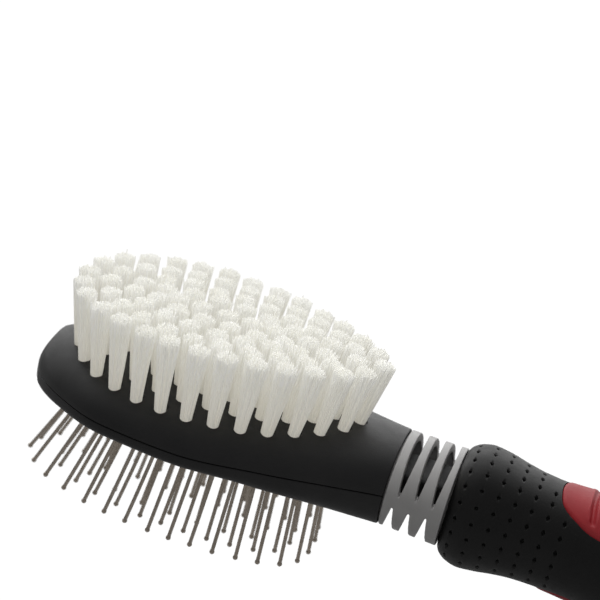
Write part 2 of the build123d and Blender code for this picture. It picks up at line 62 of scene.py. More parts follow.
# neck section: superellipses above and below the parting plane z = 0
NECK_HALF_WIDTH, NECK_UP = 14.75, 9.95
NECK_DOWN = (11.4, 12.2)            # depth at the head and at the grip
CROWN_EXPONENT, BELLY_EXPONENT, NECK_EXPONENT = 2.12, 4.6, 2.8

# head tables: (share of the head's length from its tip, size)
HEAD_HALF_WIDTH = [
    (0.0, 0.0), (0.03, 10.9), (0.12, 19.8), (0.28, 27.3), (0.48, 29.1), (0.70, 24.1),
    (0.88, 18.5), (1.0, 14.85), (1.06, 13.6)]
CROWN_HEIGHT = [(0.0, 5.7), (0.03, 7.4), (0.15, 10.0), (0.40, 10.45), (0.70, 9.98), (1.06, 9.98)]
KEEL_DEPTH = [
    (0.0, 1.9), (0.03, 4.2), (0.15, 4.4), (0.35, 4.45), (0.50, 5.08), (0.60, 5.95),
    (0.70, 7.5), (0.85, 9.6), (1.0, 11.5), (1.06, 11.9)]
KEEL_FLAT_SHARE, KEEL_FLAT_DEPTH = 0.15, 4.4

# handle stations: (length from the neck, half height, half width, centre z)
HANDLE = [
    (0.0, 12.1, 12.5, -1.67), (0.5, 13.0, 13.4, -1.67), (1.2, 13.7, 14.0, -1.68),
    (3.0, 14.7, 15.0, -1.70), (6.0, 15.3, 15.6, -1.74), (10.0, 14.9, 15.2, -1.78),
    (15.0, 13.95, 14.3, -1.93), (20.0, 13.3, 13.6, -2.12), (26.0, 13.05, 13.4, -2.35),
    (32.0, 13.3, 13.8, -2.5), (40.0, 14.0, 14.6, -2.7), (50.0, 14.7, 15.4, -2.85),
    (60.0, 14.9, 15.6, -2.9), (70.0, 14.4, 15.2, -2.75), (80.0, 13.2, 14.3, -2.35),
    (90.0, 11.3, 13.2, -1.7), (98.0, 9.5, 12.5, -1.05), (106.0, 7.9, 12.3, -0.45),
    (113.0, 6.9, 12.3, -0.1), (119.0, 6.3, 11.2, 0.0), (123.0, 5.7, 8.9, 0.0),
    (125.6, 4.7, 6.2, 0.0), (127.25, 3.0, 3.0, 0.0)]
HANDLE_EXPONENT = 2.2
HANDLE_END = HANDLE[-1][0]
GRIP_END = 98.0                     # where the black sleeve stops and the red tail begins

# pad outlines: (length from the neck, half width in Y)
THUMB_OUTLINE = [
    (24.8, 0.0), (25.5, 5.0), (27.0, 7.3), (30.0, 9.2), (34.0, 10.9), (40.0, 12.0), (47.0, 12.3),
    (55.0, 11.6), (64.0, 9.8), (73.0, 7.3), (80.0, 4.6), (83.5, 2.3), (84.5, 0.0)]
FINGER_OUTLINE = [
    (24.3, 0.0), (25.1, 4.6), (27.0, 7.6), (30.6, 9.5), (36.0, 10.5), (43.0, 10.8), (50.0, 10.5),
    (60.0, 9.0), (69.0, 6.6), (75.0, 4.0), (77.6, 1.9), (78.5, 0.0)]
THUMB_GROOVES = [34.0 + 7.0 * k for k in range(6)]

# tuft rings: (name, half length to the tip, half length to the neck, half width,
#              exponent on the neck side, tuft count, start along the ring)
TUFT_CENTRE_X = NECK_X - 60.45
TUFT_RINGS = [
    ("outer_ring", 32.58, 40.56, 22.32, 1.634, 28, 0.345),
    ("second_ring", 26.68, 34.66, 16.82, 1.65, 23, 1.8),
    ("third_ring", 20.78, 28.76, 11.32, 1.68, 18, 3.4),
    ("fourth_ring", 15.6, 22.2, 5.9, 2.1, 13, 3.2)]
TUFT_TIP_EXPONENT = 2.21
TUFT_ROW = [-10.25, -4.05, 2.05, 8.15, 14.25]   # x from the centre, along the middle
TUFT_TOP_Z = 26.6

# pin rings: (name, half length to the tip, half length to the neck, half width, pin count,
#             start along the ring)
PIN_CENTRE_X = NECK_X - 58.5
PIN_RINGS = [
    ("outer_ring", 32.0, 34.0, 15.4, 32, 2.4),
    ("middle_ring", 26.0, 28.5, 10.0, 24, 4.2),
    ("inner_ring", 20.0, 22.5, 4.6, 14, 2.2)]
WINDOW = (36.4, 37.2, 19.3)         # half length to the tip, to the neck, half width
WINDOW_EXPONENTS = (2.2, 3.2)       # tip side, neck side


# ---------------------------------------------------------------- curves of the design
def smooth_at(table, x):
    """Monotone cubic through (place, value) rows, held constant beyond the ends."""
    count = len(table)
    if x <= table[0][0]:
        return table[0][1]
    if x >= table[-1][0]:
        return table[-1][1]
    step = [table[i + 1][0] - table[i][0] for i in range(count - 1)]
    rise = [(table[i + 1][1] - table[i][1]) / step[i] for i in range(count - 1)]
    slope = [rise[0]] + [0.0] * (count - 2) + [rise[-1]]
    for i in range(1, count - 1):
        if rise[i - 1] * rise[i] > 0:
            before, after = 2 * step[i] + step[i - 1], step[i] + 2 * step[i - 1]
            slope[i] = (before + after) / (before / rise[i - 1] + after / rise[i])
    i = max(k for k in range(count - 1) if table[k][0] <= x)
    t = (x - table[i][0]) / step[i]
    return ((2 * t**3 - 3 * t**2 + 1) * table[i][1]
            + (t**3 - 2 * t**2 + t) * step[i] * slope[i]
            + (-2 * t**3 + 3 * t**2) * table[i + 1][1]
            + (t**3 - t**2) * step[i] * slope[i + 1])


# square-root places make the outline leave the tip round instead of pointed
ROOTED_HALF_WIDTH = [(math.sqrt(share), width) for share, width in HEAD_HALF_WIDTH]


def head_share(x):
    return (x - TIP_X) / HEAD_LENGTH


def half_width(share):
    return smooth_at(ROOTED_HALF_WIDTH, math.sqrt(max(share, 0.0)))


def tip_round(share):
    return math.sqrt(min(1.0, max(share, 0.0) / 0.03))


def crown(share):
    return smooth_at(CROWN_HEIGHT, share) * tip_round(share)


def keel(share):
    if share < KEEL_FLAT_SHARE:
        return KEEL_FLAT_DEPTH * tip_round(share)
    return max(KEEL_FLAT_DEPTH, smooth_at(KEEL_DEPTH, share))


def crown_exponent(share):
    return CROWN_EXPONENT


def belly_exponent(share):
    """Boxy over the pin window, easing to the neck's rounder section."""
    ease = min(1.0, max(0.0, (share - 0.45) / 0.55))
    return BELLY_EXPONENT + (NECK_EXPONENT - BELLY_EXPONENT) * ease**0.6


def skin_height(x, y, height_of, exponent_of):
    """Height (or depth) of the head's outer skin over a place."""
    share = head_share(x)
    exponent = exponent_of(share)
    across = min(abs(y) / half_width(share), 0.999)
    return height_of(share) * (1 - across**exponent) ** (1 / exponent)


def handle_at(length):
    """Half height, half width and centre z of the handle."""
    return tuple(smooth_at([(row[0], row[c]) for row in HANDLE], length) for c in (1, 2, 3))


def even_angles(count):
    return np.arange(count) * 2 * math.pi / count


def handle_ring(length, angles, inset=0.0):
    """Points at true angles round the handle, angle 0 along +Y and 90 degrees up."""
    half_height, half_wide, centre_z = handle_at(length)
    half_height, half_wide = half_height - inset, half_wide - inset
    c, s = np.cos(angles), np.sin(angles)
    radius = (np.abs(c / half_wide) ** HANDLE_EXPONENT
              + np.abs(s / half_height) ** HANDLE_EXPONENT) ** (-1 / HANDLE_EXPONENT)
    return np.stack([np.full(len(angles), GRIP_X + length), radius * c, radius * s + centre_z], -1)


def superellipse_rows(sections, count):
    """Closed rings of (x, half width, height up, depth down, exponent up, exponent down)."""
    rows = []
    angles = even_angles(count)
    c, s = np.cos(angles), np.sin(angles)
    for x, wide, up, down, exponent_up, exponent_down in sections:
        exponent = np.where(s >= 0, exponent_up, exponent_down)
        height = np.where(s >= 0, up, down)
        rows.append(np.stack([np.full(count, x),
                              np.sign(c) * np.abs(c) ** (2 / exponent) * wide,
                              np.sign(s) * np.abs(s) ** (2 / exponent) * height], -1))
    return np.array(rows)


def egg_places(centre_x, halves, exponents, count, start=0.0, samples=1440, side=-1):
    """Evenly spaced points on an egg outline, leaving its tip end towards the given Y side.

    halves: half length to the tip, half length to the neck, half width.
    exponents: of the superellipse half on the tip side and of the one on the neck side.
    """
    angles = np.linspace(0, 2 * math.pi, samples + 1)
    c, s = np.cos(angles), np.sin(angles)
    exponent = np.where(c > 0, exponents[0], exponents[1])
    half_length = np.where(c > 0, halves[0], halves[1])
    x = centre_x - np.sign(c) * np.abs(c) ** (2 / exponent) * half_length
    y = side * (np.sign(s) * np.abs(s) ** (2 / exponent) * halves[2])
    run = np.concatenate([[0], np.cumsum(np.hypot(np.diff(x), np.diff(y)))])
    wanted = (start + np.arange(count) * run[-1] / count) % run[-1]
    return np.interp(wanted, run, x), np.interp(wanted, run, y)


def window_egg(halves, count):
    return egg_places(PIN_CENTRE_X, halves, WINDOW_EXPONENTS, count, samples=2880, side=1)


# ---------------------------------------------------------------- mesh helpers
def shade(obj, sharp=None):
    """Smooth shading, with edges beyond the given angle in degrees kept sharp."""
    mesh = obj.data
    mesh.polygons.foreach_set("use_smooth", [True] * len(mesh.polygons))
    if sharp is not None:
        mesh.set_sharp_from_angle(angle=math.radians(sharp))
    mesh.update()


def merge_close(obj, distance):
    bm = bmesh.new()
    bm.from_mesh(obj.data)
    bmesh.ops.remove_doubles(bm, verts=bm.verts, dist=distance)
    bmesh.ops.dissolve_degenerate(bm, dist=distance * 0.5, edges=bm.edges)
    bmesh.ops.recalc_face_normals(bm, faces=bm.faces)
    bm.to_mesh(obj.data)
    bm.free()
    obj.data.update()


def new_object(name, verts, faces, sharp=None, merge=None, scale=MM):
    """Object from millimetre points; merge is in millimetres, None leaves the points alone."""
    mesh = bpy.data.meshes.new(name)
    points = np.asarray(verts, float) * scale
    mesh.from_pydata(points.tolist(), [], [tuple(int(i) for i in face) for face in faces])
    obj = bpy.data.objects.new(name, mesh)
    bpy.context.scene.collection.objects.link(obj)
    if merge is not None:
        merge_close(obj, merge * scale)
    shade(obj, sharp)
    return obj


def raw_solid(name, verts, faces):
    """Solid kept at one unit per millimetre, so that booleans and remeshing stay accurate."""
    return new_object(name, verts, faces, merge=0.0004, scale=1.0)


def finish_raw(obj, sharp=None):
    """Brings a raw solid to metres and shades it."""
    obj.data.transform(Matrix.Scale(MM, 4))
    shade(obj, sharp)
    return obj


def grid_faces(rows, columns, closed=False, first=0):
    """Quads of a grid of points, optionally wrapped round its columns."""
    i, j = np.meshgrid(np.arange(rows - 1), np.arange(columns if closed else columns - 1),
                       indexing="ij")
    after = (j + 1) % columns
    quads = [i * columns + j, i * columns + after,
             (i + 1) * columns + after, (i + 1) * columns + j]
    return np.stack(quads, -1).reshape(-1, 4) + first


def end_caps(rows, columns, first=0):
    last = first + (rows - 1) * columns
    return [[first + k for k in range(columns)][::-1], [last + k for k in range(columns)]]


def capped_faces(rows, columns, first=0):
    return grid_faces(rows, columns, True, first).tolist() + end_caps(rows, columns, first)


def looped_faces(rows, columns):
    """Closed grid whose last row is joined back to its first."""
    last = (rows - 1) * columns
    return grid_faces(rows, columns, True).tolist() + [
        [last + j, last + (j + 1) % columns, (j + 1) % columns, j] for j in range(columns)]


def bake_modifiers(obj):
    """Replaces the object's mesh with its mesh after modifiers."""
    bpy.context.view_layer.update()
    depsgraph = bpy.context.evaluated_depsgraph_get()
    mesh = bpy.data.meshes.new_from_object(obj.evaluated_get(depsgraph))
    old = obj.data
    obj.modifiers.clear()
    obj.data = mesh
    bpy.data.meshes.remove(old)


def cut(obj, cutter):
    modifier = obj.modifiers.new("cut", "BOOLEAN")
    modifier.operation = "DIFFERENCE"
    modifier.solver = "EXACT"
    modifier.object = cutter
    bake_modifiers(obj)
    bpy.data.objects.remove(cutter)


def frame_of(direction):
    """Unit vectors u, v across a direction and w along it."""
    w = np.asarray(direction, float)
    w = w / np.linalg.norm(w)
    u = np.cross(w, (0, 1, 0) if abs(w[1]) < 0.8 else (1, 0, 0))
    u /= np.linalg.norm(u)
    return u, np.cross(w, u), w


def circle(centre, radius, u, v, angles):
    return centre + radius * (np.cos(angles)[:, None] * u + np.sin(angles)[:, None] * v)


def lathe_solids(profile, sides, places):
    """Verts and faces of a (distance along w, radius) profile turned at each (origin, u, v, w)."""
    verts, faces, first = [], [], 0
    angles = even_angles(sides)
    for origin, u, v, w in places:
        rings = np.array([circle(origin + s * w, r, u, v, angles) for s, r in profile])
        verts.append(rings.reshape(-1, 3))
        faces += capped_faces(len(profile), sides, first)
        first += len(profile) * sides
    return np.concatenate(verts), faces


# ---------------------------------------------------------------- tuft and pin places
tuft_places = {
    name: list(zip(*egg_places(TUFT_CENTRE_X, halves, (TUFT_TIP_EXPONENT, exponent), count, start)))
    for name, *halves, exponent, count, start in TUFT_RINGS}
tuft_places["centre_row"] = [(TUFT_CENTRE_X + offset, 0.0) for offset in TUFT_ROW]

pin_places = {
    name: list(zip(*egg_places(PIN_CENTRE_X, halves, WINDOW_EXPONENTS, count, start)))
    for name, *halves, count, start in PIN_RINGS}


def tuft_axis(x, y):
    """Foot on the crown, unit direction and length; the tufts fan out towards their tips."""
    foot = np.array([x, y, skin_height(x, y, crown, crown_exponent)])
    d = x - TUFT_CENTRE_X
    top = np.array([x - 0.24 + 0.0643 * d + 0.000108 * d * d, y * 1.12, TUFT_TOP_Z])
    span = top - foot
    length = np.linalg.norm(span)
    return foot, span / length, length


# ---------------------------------------------------------------- head shells
PARTING_GAP = 0.10        # each shell's distance from the parting plane
PARTING_ROUND = 0.34      # largest rounding of the parting edge
NECK_EDGE_ROUND = 0.38    # rounding of the shell's neck end
SHELL_WALL = 2.5
TIP_WALL = 2.4            # wall along X at the tip, fading out by TIP_WALL_SHARE
TIP_WALL_SHARE = 0.06
SOCKET_DEPTH = 2.5
SOCKET_SCALE = 0.905      # the socket against the neck section
TIP_STEPS, TIP_CROWDING = 150, 1.9
# shares of a quarter section's length, crowded at the parting edge
SECTION_SHARES = np.array(
    [0, .0015, .003, .006, .009, .0125, .018, .027, .04, .06, .085] + list(np.linspace(.115, 1, 26)))


def quarter_section(wide, height, exponent):
    """Superellipse quarter from (wide, 0) to (0, height) at SECTION_SHARES, and its length."""
    angles = np.linspace(0, math.pi / 2, 500)
    y = wide * np.abs(np.cos(angles)) ** (2 / exponent)
    z = height * np.abs(np.sin(angles)) ** (2 / exponent)
    y[-1], z[0] = 0.0, 0.0
    run = np.concatenate([[0], np.cumsum(np.hypot(np.diff(y), np.diff(z)))])
    wanted = SECTION_SHARES * run[-1]
    return np.interp(wanted, run, y), np.interp(wanted, run, z), run[-1]


def shell_stations():
    """Rows of (share, x, inset, whether it lies in the neck socket), from tip to neck."""
    stations = []
    for k in range(TIP_STEPS + 1):
        share = (k / TIP_STEPS) ** TIP_CROWDING
        x = TIP_X + share * HEAD_LENGTH
        if x < RING_X - SOCKET_DEPTH - 0.1:
            stations.append((share, x, 0.0, False))
    ends = [(RING_X - SOCKET_DEPTH, 0.0, False)]
    ends += [(RING_X - back, 0.0, True) for back in (SOCKET_DEPTH, 1.9, 1.2, 0.7)]
    r = NECK_EDGE_ROUND
    for degrees in (0.0, 22.5, 45.0, 67.5, 90.0):
        a = math.radians(degrees)
        ends.append((RING_X - r + r * math.sin(a), r * (1 - math.cos(a)), True))
    return stations + [(head_share(x), x, inset, socket) for x, inset, socket in ends]


def arch(x, y, z, side):
    """Mirrors a quarter section into a half ring running from +Y to -Y."""
    return np.stack([np.full(2 * len(y) - 1, x), np.concatenate([y, -y[-2::-1]]),
                     side * np.concatenate([z, z[-2::-1]])], -1)


def outer_arch(share, x, inset, side, height_of, exponent_of):
    """Outer skin of one station, its parting edge rounded."""
    wide = max(half_width(share) - inset, 1e-4)
    height = max(height_of(share) - inset, 1e-4)
    y, z, length = quarter_section(wide, max(height - PARTING_GAP, 1e-4), exponent_of(share))
    r = min(PARTING_ROUND, 0.2 * length)
    rise = np.clip(z / max(r, 1e-6), 0, 1)
    y = y - r * (1 - np.sqrt(1 - (1 - rise) ** 2)) * np.clip(y / max(r, 1e-6), 0, 1)
    return arch(x, y, z + PARTING_GAP, side)


def half_shell(name, side, height_of, exponent_of, inside, socket_size):
    """Closed half of the head: outer skin, parting face, inner skin and neck face.

    inside: height and exponent of the hollow; socket_size: the same for the neck section.
    """
    rows = []
    for share, x, inset, socket in shell_stations():
        if socket:
            wide = SOCKET_SCALE * NECK_HALF_WIDTH
            height, exponent = SOCKET_SCALE * socket_size[0], socket_size[1]
            shift = 0.0
        else:
            wide = max(half_width(share) - SHELL_WALL, 0.0) if share > 0 else 0.0
            height, exponent = inside[0] * min(1.0, share / 0.02) ** 0.5, inside[1]
            shift = TIP_WALL * max(0.0, 1 - share / TIP_WALL_SHARE)
        height = max(height - PARTING_GAP, 0.0)
        if wide <= 0.05:
            y, z = np.zeros(len(SECTION_SHARES)), np.zeros(len(SECTION_SHARES))
        else:
            y, z, _ = quarter_section(wide, max(height, 0.02), exponent)
        outer = outer_arch(share, x, inset, side, height_of, exponent_of)
        inner = arch(x + shift, y, z + PARTING_GAP, side)
        if share == 0:
            outer[:] = (TIP_X, 0, side * PARTING_GAP)
            inner[:] = (TIP_X + TIP_WALL, 0, side * PARTING_GAP)
        rows.append(np.concatenate([outer, inner[::-1]]))
    rows = np.array(rows)
    count, around = rows.shape[:2]
    faces = grid_faces(count, around, closed=True).tolist()
    last = (count - 1) * around
    for j in range(around // 2 - 1):
        faces.append([last + j, last + j + 1, last + around - 2 - j, last + around - 1 - j])
    return raw_solid(name, rows.reshape(-1, 3), faces)


def build_upper_shell():
    """Bristle side, with a flared hole under every tuft."""
    shell = half_shell("upper_head_shell", 1, crown, crown_exponent, inside=(1.7, 4.0),
                       socket_size=(NECK_UP, CROWN_EXPONENT))
    places = []
    for x, y in [place for group in tuft_places.values() for place in group]:
        foot, axis, _ = tuft_axis(x, y)
        places.append((foot, *frame_of(axis)))
    hole = [(-4.0, 0.3), (-3.9, 1.50), (-0.32, 1.55), (-0.16, 1.62), (-0.03, 1.78), (0.09, 2.02),
            (1.2, 2.6)]   # (distance above the crown, radius)
    cut(shell, raw_solid("hole_cutter", *lathe_solids(hole, 24, places)))
    return finish_raw(shell, sharp=34.0)


def window_cutter():
    """Egg-shaped cutter whose rounded lip follows the belly."""
    steps = 220
    # the lip below the skin: (z from the skin, growth outwards)
    lip = [(0.75, 0.0), (0.42, 0.07), (0.2, 0.22), (0.03, 0.46), (-0.12, 0.85), (-4.0, 2.2)]
    rows = []
    xs, ys = window_egg(WINDOW, steps)
    along_x, along_y = np.roll(xs, -1) - np.roll(xs, 1), np.roll(ys, -1) - np.roll(ys, 1)
    size = np.hypot(along_x, along_y)
    for k in range(steps):
        x, y = xs[k], ys[k]
        out_x, out_y = -along_y[k] / size[k], along_x[k] / size[k]
        if out_x * (x - PIN_CENTRE_X) + out_y * y < 0:
            out_x, out_y = -out_x, -out_y
        skin = -skin_height(x, y, keel, belly_exponent)
        profile = [(1.5, 0.0)] + [(skin + dz, grow) for dz, grow in lip]
        rows.append([(x + out_x * grow, y + out_y * grow, z) for z, grow in profile])
    rows = np.array(rows).transpose(1, 0, 2)
    return raw_solid("window_cutter", rows.reshape(-1, 3), capped_faces(len(rows), steps))


def build_lower_shell():
    """Pin side, with the window the cushion sits in."""
    shell = half_shell("lower_head_shell", -1, keel, belly_exponent, inside=(2.2, 5.0),
                       socket_size=(NECK_DOWN[0], NECK_EXPONENT))
    cut(shell, window_cutter())
    return finish_raw(shell, sharp=34.0)


# ---------------------------------------------------------------- bristle tufts
FILAMENTS = 100
FILAMENT_SIDES = 5
FILAMENT_RADIUS = 0.165
TUFT_ROOT_RADIUS, TUFT_TIP_RADIUS = 1.36, 2.72
ROOT_DEPTH = 1.1            # filament start below the crown
STRAY_CHANCE = 0.022
GOLDEN_ANGLE = 2.399963     # radians between neighbouring filaments
# (share of the length, share of the radius)
FILAMENT_STATIONS = [
    (0.0, 1.0), (0.10, 1.0), (0.34, 1.0), (0.58, 1.0), (0.80, 1.0), (0.975, 1.0), (1.0, 0.62)]


def tuft_verts(rng, x, y):
    """Points of one tuft, filament by filament. The order of random draws fixes its look."""
    foot, axis, length = tuft_axis(x, y)
    u, v, w = frame_of(axis)
    k = np.arange(FILAMENTS)

    def scatter(deviation, size=FILAMENTS):
        return rng.normal(0, deviation, size)

    # spiral placing, each filament a little off its seat
    share = np.sqrt((k + 0.5) / FILAMENTS)
    angle = k * GOLDEN_ANGLE + rng.uniform(0, 6.28) + scatter(0.10)
    root_radius = TUFT_ROOT_RADIUS * share * (1 + scatter(0.02))
    tip_radius = TUFT_TIP_RADIUS * share**0.85 * (1 + scatter(0.045))
    # a few strays lean further out
    stray = rng.random(FILAMENTS) < STRAY_CHANCE
    tip_radius = tip_radius + stray * rng.uniform(0.35, 1.1, FILAMENTS)
    tip_angle = angle + scatter(0.09)
    # the whole tuft sways, and its top is domed and uneven
    sway = scatter(0.16, 2)
    reach = (length + rng.normal(0, 0.12) + 0.30 - 0.75 * share**2.4 + scatter(0.17)
             + stray * rng.uniform(-0.3, 0.7, FILAMENTS))
    root = np.stack([root_radius * np.cos(angle), root_radius * np.sin(angle)], -1)
    tip = np.stack([tip_radius * np.cos(tip_angle) + sway[0],
                    tip_radius * np.sin(tip_angle) + sway[1]], -1) + scatter(0.07, (FILAMENTS, 2))
    curl = scatter(0.09, (FILAMENTS, 2))
    radius = FILAMENT_RADIUS * (1 + scatter(0.05))

    spin = angle[:, None] + even_angles(FILAMENT_SIDES)[None, :]
    spokes = np.cos(spin)[..., None] * u + np.sin(spin)[..., None] * v
    rings = []
    for s, grow in FILAMENT_STATIONS:
        f = s**1.08
        aside = root * (1 - f) + tip * f + curl * math.sin(math.pi * s)
        along = -ROOT_DEPTH + s * (reach + ROOT_DEPTH)
        centre = foot + along[:, None] * w + aside[:, :1] * u + aside[:, 1:] * v
        rings.append(centre[:, None, :] + (radius * grow)[:, None, None] * spokes)
    return np.array(rings).transpose(1, 0, 2, 3).reshape(-1, 3)


def build_tufts(name, places, rng):
    verts, faces = [], []
    stations = len(FILAMENT_STATIONS)
    step = stations * FILAMENT_SIDES
    walls = grid_faces(stations, FILAMENT_SIDES, closed=True)
    bottom, top = np.array(end_caps(stations, FILAMENT_SIDES))
    for index, (x, y) in enumerate(places):
        verts.append(tuft_verts(rng, x, y))
        starts = (index * FILAMENTS + np.arange(FILAMENTS)) * step
        faces += (walls[None] + starts[:, None, None]).reshape(-1, 4).tolist()
        faces += (top[None] + starts[:, None]).tolist()
        faces += (bottom[None] + starts[:, None]).tolist()
    return new_object(name, np.concatenate(verts), faces, sharp=60.0)


# ---------------------------------------------------------------- steel pins with ball tips
PIN_SIDES = 14
PIN_RADIUS, BALL_RADIUS = 0.48, 0.66
PIN_LENGTH, PIN_EXTRA = 24.3, 1.6       # length at the rim, and what the middle adds
SEAT_ABOVE_MEMBRANE = 0.95
PIN_DATUM_Z = -4.0                      # height at which the pin rings are laid out
MEMBRANE_HALVES = (33.6, 34.4, 16.9)
# (egg radius share, z)
MEMBRANE = [(0.0, -5.5), (0.27, -5.45), (0.475, -5.3), (0.70, -4.75), (0.86, -3.9),
            (0.93, -3.2), (0.97, -2.8), (1.2, -2.7)]


def membrane_z(x, y):
    end = 0 if x < PIN_CENTRE_X else 1
    exponent = WINDOW_EXPONENTS[end]
    share = (abs((x - PIN_CENTRE_X) / MEMBRANE_HALVES[end]) ** exponent
             + abs(y / MEMBRANE_HALVES[2]) ** exponent) ** (1 / exponent)
    return np.interp(share, *zip(*MEMBRANE))


def lean(x, y):
    """Travel of a pin along X and Y for each millimetre down."""
    q = (x - PIN_CENTRE_X) / 33.0
    along = -0.09 - 0.40 * min(1.0, -q) ** 1.45 if q < 0 else -0.09 + 0.17 * min(q, 0.85)
    return along, 0.012 * y


def pin_profile(length):
    """(distance along the pin, radius): foot flange, shaft, ball."""
    profile = [(-0.40, 0.0001), (-0.40, 1.00), (-0.34, 1.12), (-0.06, 1.15), (0.0, 1.08),
               (0.02, 0.52)]
    profile += [(length * k / 12, PIN_RADIUS) for k in range(1, 12)]
    profile += [(length - 0.95, PIN_RADIUS), (length - 0.62, 0.50)]
    for degrees in range(-42, 91, 12):
        a = math.radians(degrees)
        profile.append((length + BALL_RADIUS * math.sin(a),
                        max(BALL_RADIUS * math.cos(a), 0.0001)))
    return profile


def build_pins(name, places, rng):
    verts, faces, first = [], [], 0
    angles = even_angles(PIN_SIDES)
    for x, y in places:
        down = np.array([*lean(x, y), -1.0])
        down /= np.linalg.norm(down)
        edge = math.hypot((x - PIN_CENTRE_X) / 36.0, y / 18.5)
        rise = membrane_z(x, y) + SEAT_ABOVE_MEMBRANE - PIN_DATUM_Z
        seat = np.array([x, y, PIN_DATUM_Z]) + down * (rise / down[2])
        length = (PIN_LENGTH + PIN_EXTRA * max(0.0, 1 - edge**2) - BALL_RADIUS
                  + rise / -down[2])
        u, v, w = frame_of(down)
        bend = rng.normal(0, 0.16, 2)
        profile = pin_profile(length)
        for s, r in profile:
            f = max(0.0, s / length) ** 2
            centre = seat + s * w + f * (bend[0] * u + bend[1] * v)
            verts.append(circle(centre, r, u, v, angles))
        faces += grid_faces(len(profile), PIN_SIDES, True, first).tolist()
        first += len(profile) * PIN_SIDES
    return new_object(name, np.concatenate(verts), faces, sharp=50.0, merge=0.0005)


# ---------------------------------------------------------------- domed rubber cushion
# each table: (share of the window's half lengths, half width, z)
CUSHION_INNER = [
    (0.0, 0.0, -6.45), (0.276, 3.35, -6.4), (0.469, 6.3, -6.25), (0.684, 10.5, -5.75),
    (0.828, 14.0, -4.9), (0.918, 16.5, -3.6), (0.955, 17.6, -2.2), (0.958, 17.8, -1.6),
    (0.961, 17.9, -1.15)]
CUSHION_FLANGE = [(1.0505, 21.3, -1.15), (1.0545, 21.5, -1.35), (1.0545, 21.5, -1.95),
                  (1.0505, 21.3, -2.15)]
CUSHION_OUTER = [
    (0.995, 19.1, -2.15), (0.988, 18.85, -2.45), (0.980, 18.55, -3.0), (0.956, 17.8, -4.2),
    (0.877, 15.4, -5.6), (0.729, 11.8, -6.6), (0.507, 7.4, -7.2), (0.301, 4.0, -7.4),
    (0.137, 1.7, -7.44), (0.0, 0.0, -7.45)]


def cushion_profile():
    """Section from the inner middle over the flange to the outer middle."""
    half_length = (WINDOW[0] + WINDOW[1]) / 2
    steps = [math.hypot(half_length * (b[0] - a[0]), b[2] - a[2])
             for a, b in zip(CUSHION_OUTER, CUSHION_OUTER[1:])]
    run = [0] + list(np.cumsum(steps))
    columns = [[(r, level[c]) for r, level in zip(run, CUSHION_OUTER)] for c in range(3)]
    outer = [tuple(smooth_at(column, r) for column in columns)
             for r in np.linspace(0, run[-1], 84)]
    return CUSHION_INNER + CUSHION_FLANGE + outer


def build_cushion():
    steps = 240
    rows = []
    for share, wide, z in cushion_profile():
        if share > 0:
            x, y = window_egg((WINDOW[0] * share, WINDOW[1] * share, wide), steps)
        else:
            x, y = np.full(steps, PIN_CENTRE_X), np.zeros(steps)
        rows.append(np.stack([x, y, np.full(steps, z)], -1))
    rows = np.array(rows)
    # a raised collar with a shallow ring round it where each pin comes out of the outer skin
    outer = rows[len(CUSHION_INNER) + len(CUSHION_FLANGE):]
    for x, y in [place for group in pin_places.values() for place in group]:
        lean_x, lean_y = lean(x, y)
        d = np.hypot(outer[..., 0] - (x + lean_x * 3.2), outer[..., 1] - (y + lean_y * 3.2))
        collar = 0.42 * np.exp(-((d / 0.95) ** 4))
        moat = 0.10 * np.exp(-(((d - 1.6) / 0.4) ** 2))
        outer[..., 2] -= collar - moat
    faces = grid_faces(len(rows), steps, closed=True)
    return new_object("rubber_pin_cushion", rows.reshape(-1, 3), faces, sharp=45.0, merge=0.0005)


# ---------------------------------------------------------------- neck: ribbed sleeve and core
SLOT_PITCH = 4.25
# slots above and below: (x from the neck's middle, z of the narrow end, z of the wide end,
#                         narrow width, wide width, x shift of the wide end)
NECK_SLOTS = [(0.25, 0.9, 12.0, 0.35, 2.9, 0.1), (-0.55, -1.7, -14.0, 0.30, 3.76, -0.42)]
SLOT_HALF_SPAN = 30
# neck core end: (distance from the end, scale, half width before scaling)
CORE_HALF_WIDTH, CORE_HALF_HEIGHT = 7.0, 3.6
CORE_END = [(0.0, 0.9, 9.4), (0.35, 1.0, 9.4), (3.7, 1.0, 9.4), (4.0, 0.96, 8.6),
            (4.1, 1.0, CORE_HALF_WIDTH), (4.6, 1.0, CORE_HALF_WIDTH)]


def neck_section(x, scale):
    share = min(1.0, max(0.0, (x - RING_X) / NECK_LENGTH))
    down = NECK_DOWN[0] + (NECK_DOWN[1] - NECK_DOWN[0]) * share
    return (x, NECK_HALF_WIDTH * scale, NECK_UP * scale, down * scale,
            CROWN_EXPONENT, NECK_EXPONENT)


def slot_cutter():
    verts, faces = [], []
    box = [(0, 1, 2, 3), (7, 6, 5, 4), (0, 4, 5, 1), (1, 5, 6, 2), (2, 6, 7, 3), (3, 7, 4, 0)]
    for i in (-1, 0, 1):
        for offset, apex_z, out_z, apex_width, out_width, shift in NECK_SLOTS:
            x = NECK_X + offset + i * SLOT_PITCH
            corners = [(x - apex_width / 2, apex_z), (x + apex_width / 2, apex_z),
                       (x + shift + out_width / 2, out_z), (x + shift - out_width / 2, out_z)]
            faces += [[k + len(verts) for k in face] for face in box]
            verts += [(cx, y, cz) for y in (-SLOT_HALF_SPAN, SLOT_HALF_SPAN)
                      for cx, cz in corners]
    return raw_solid("slot_cutter", verts, faces)


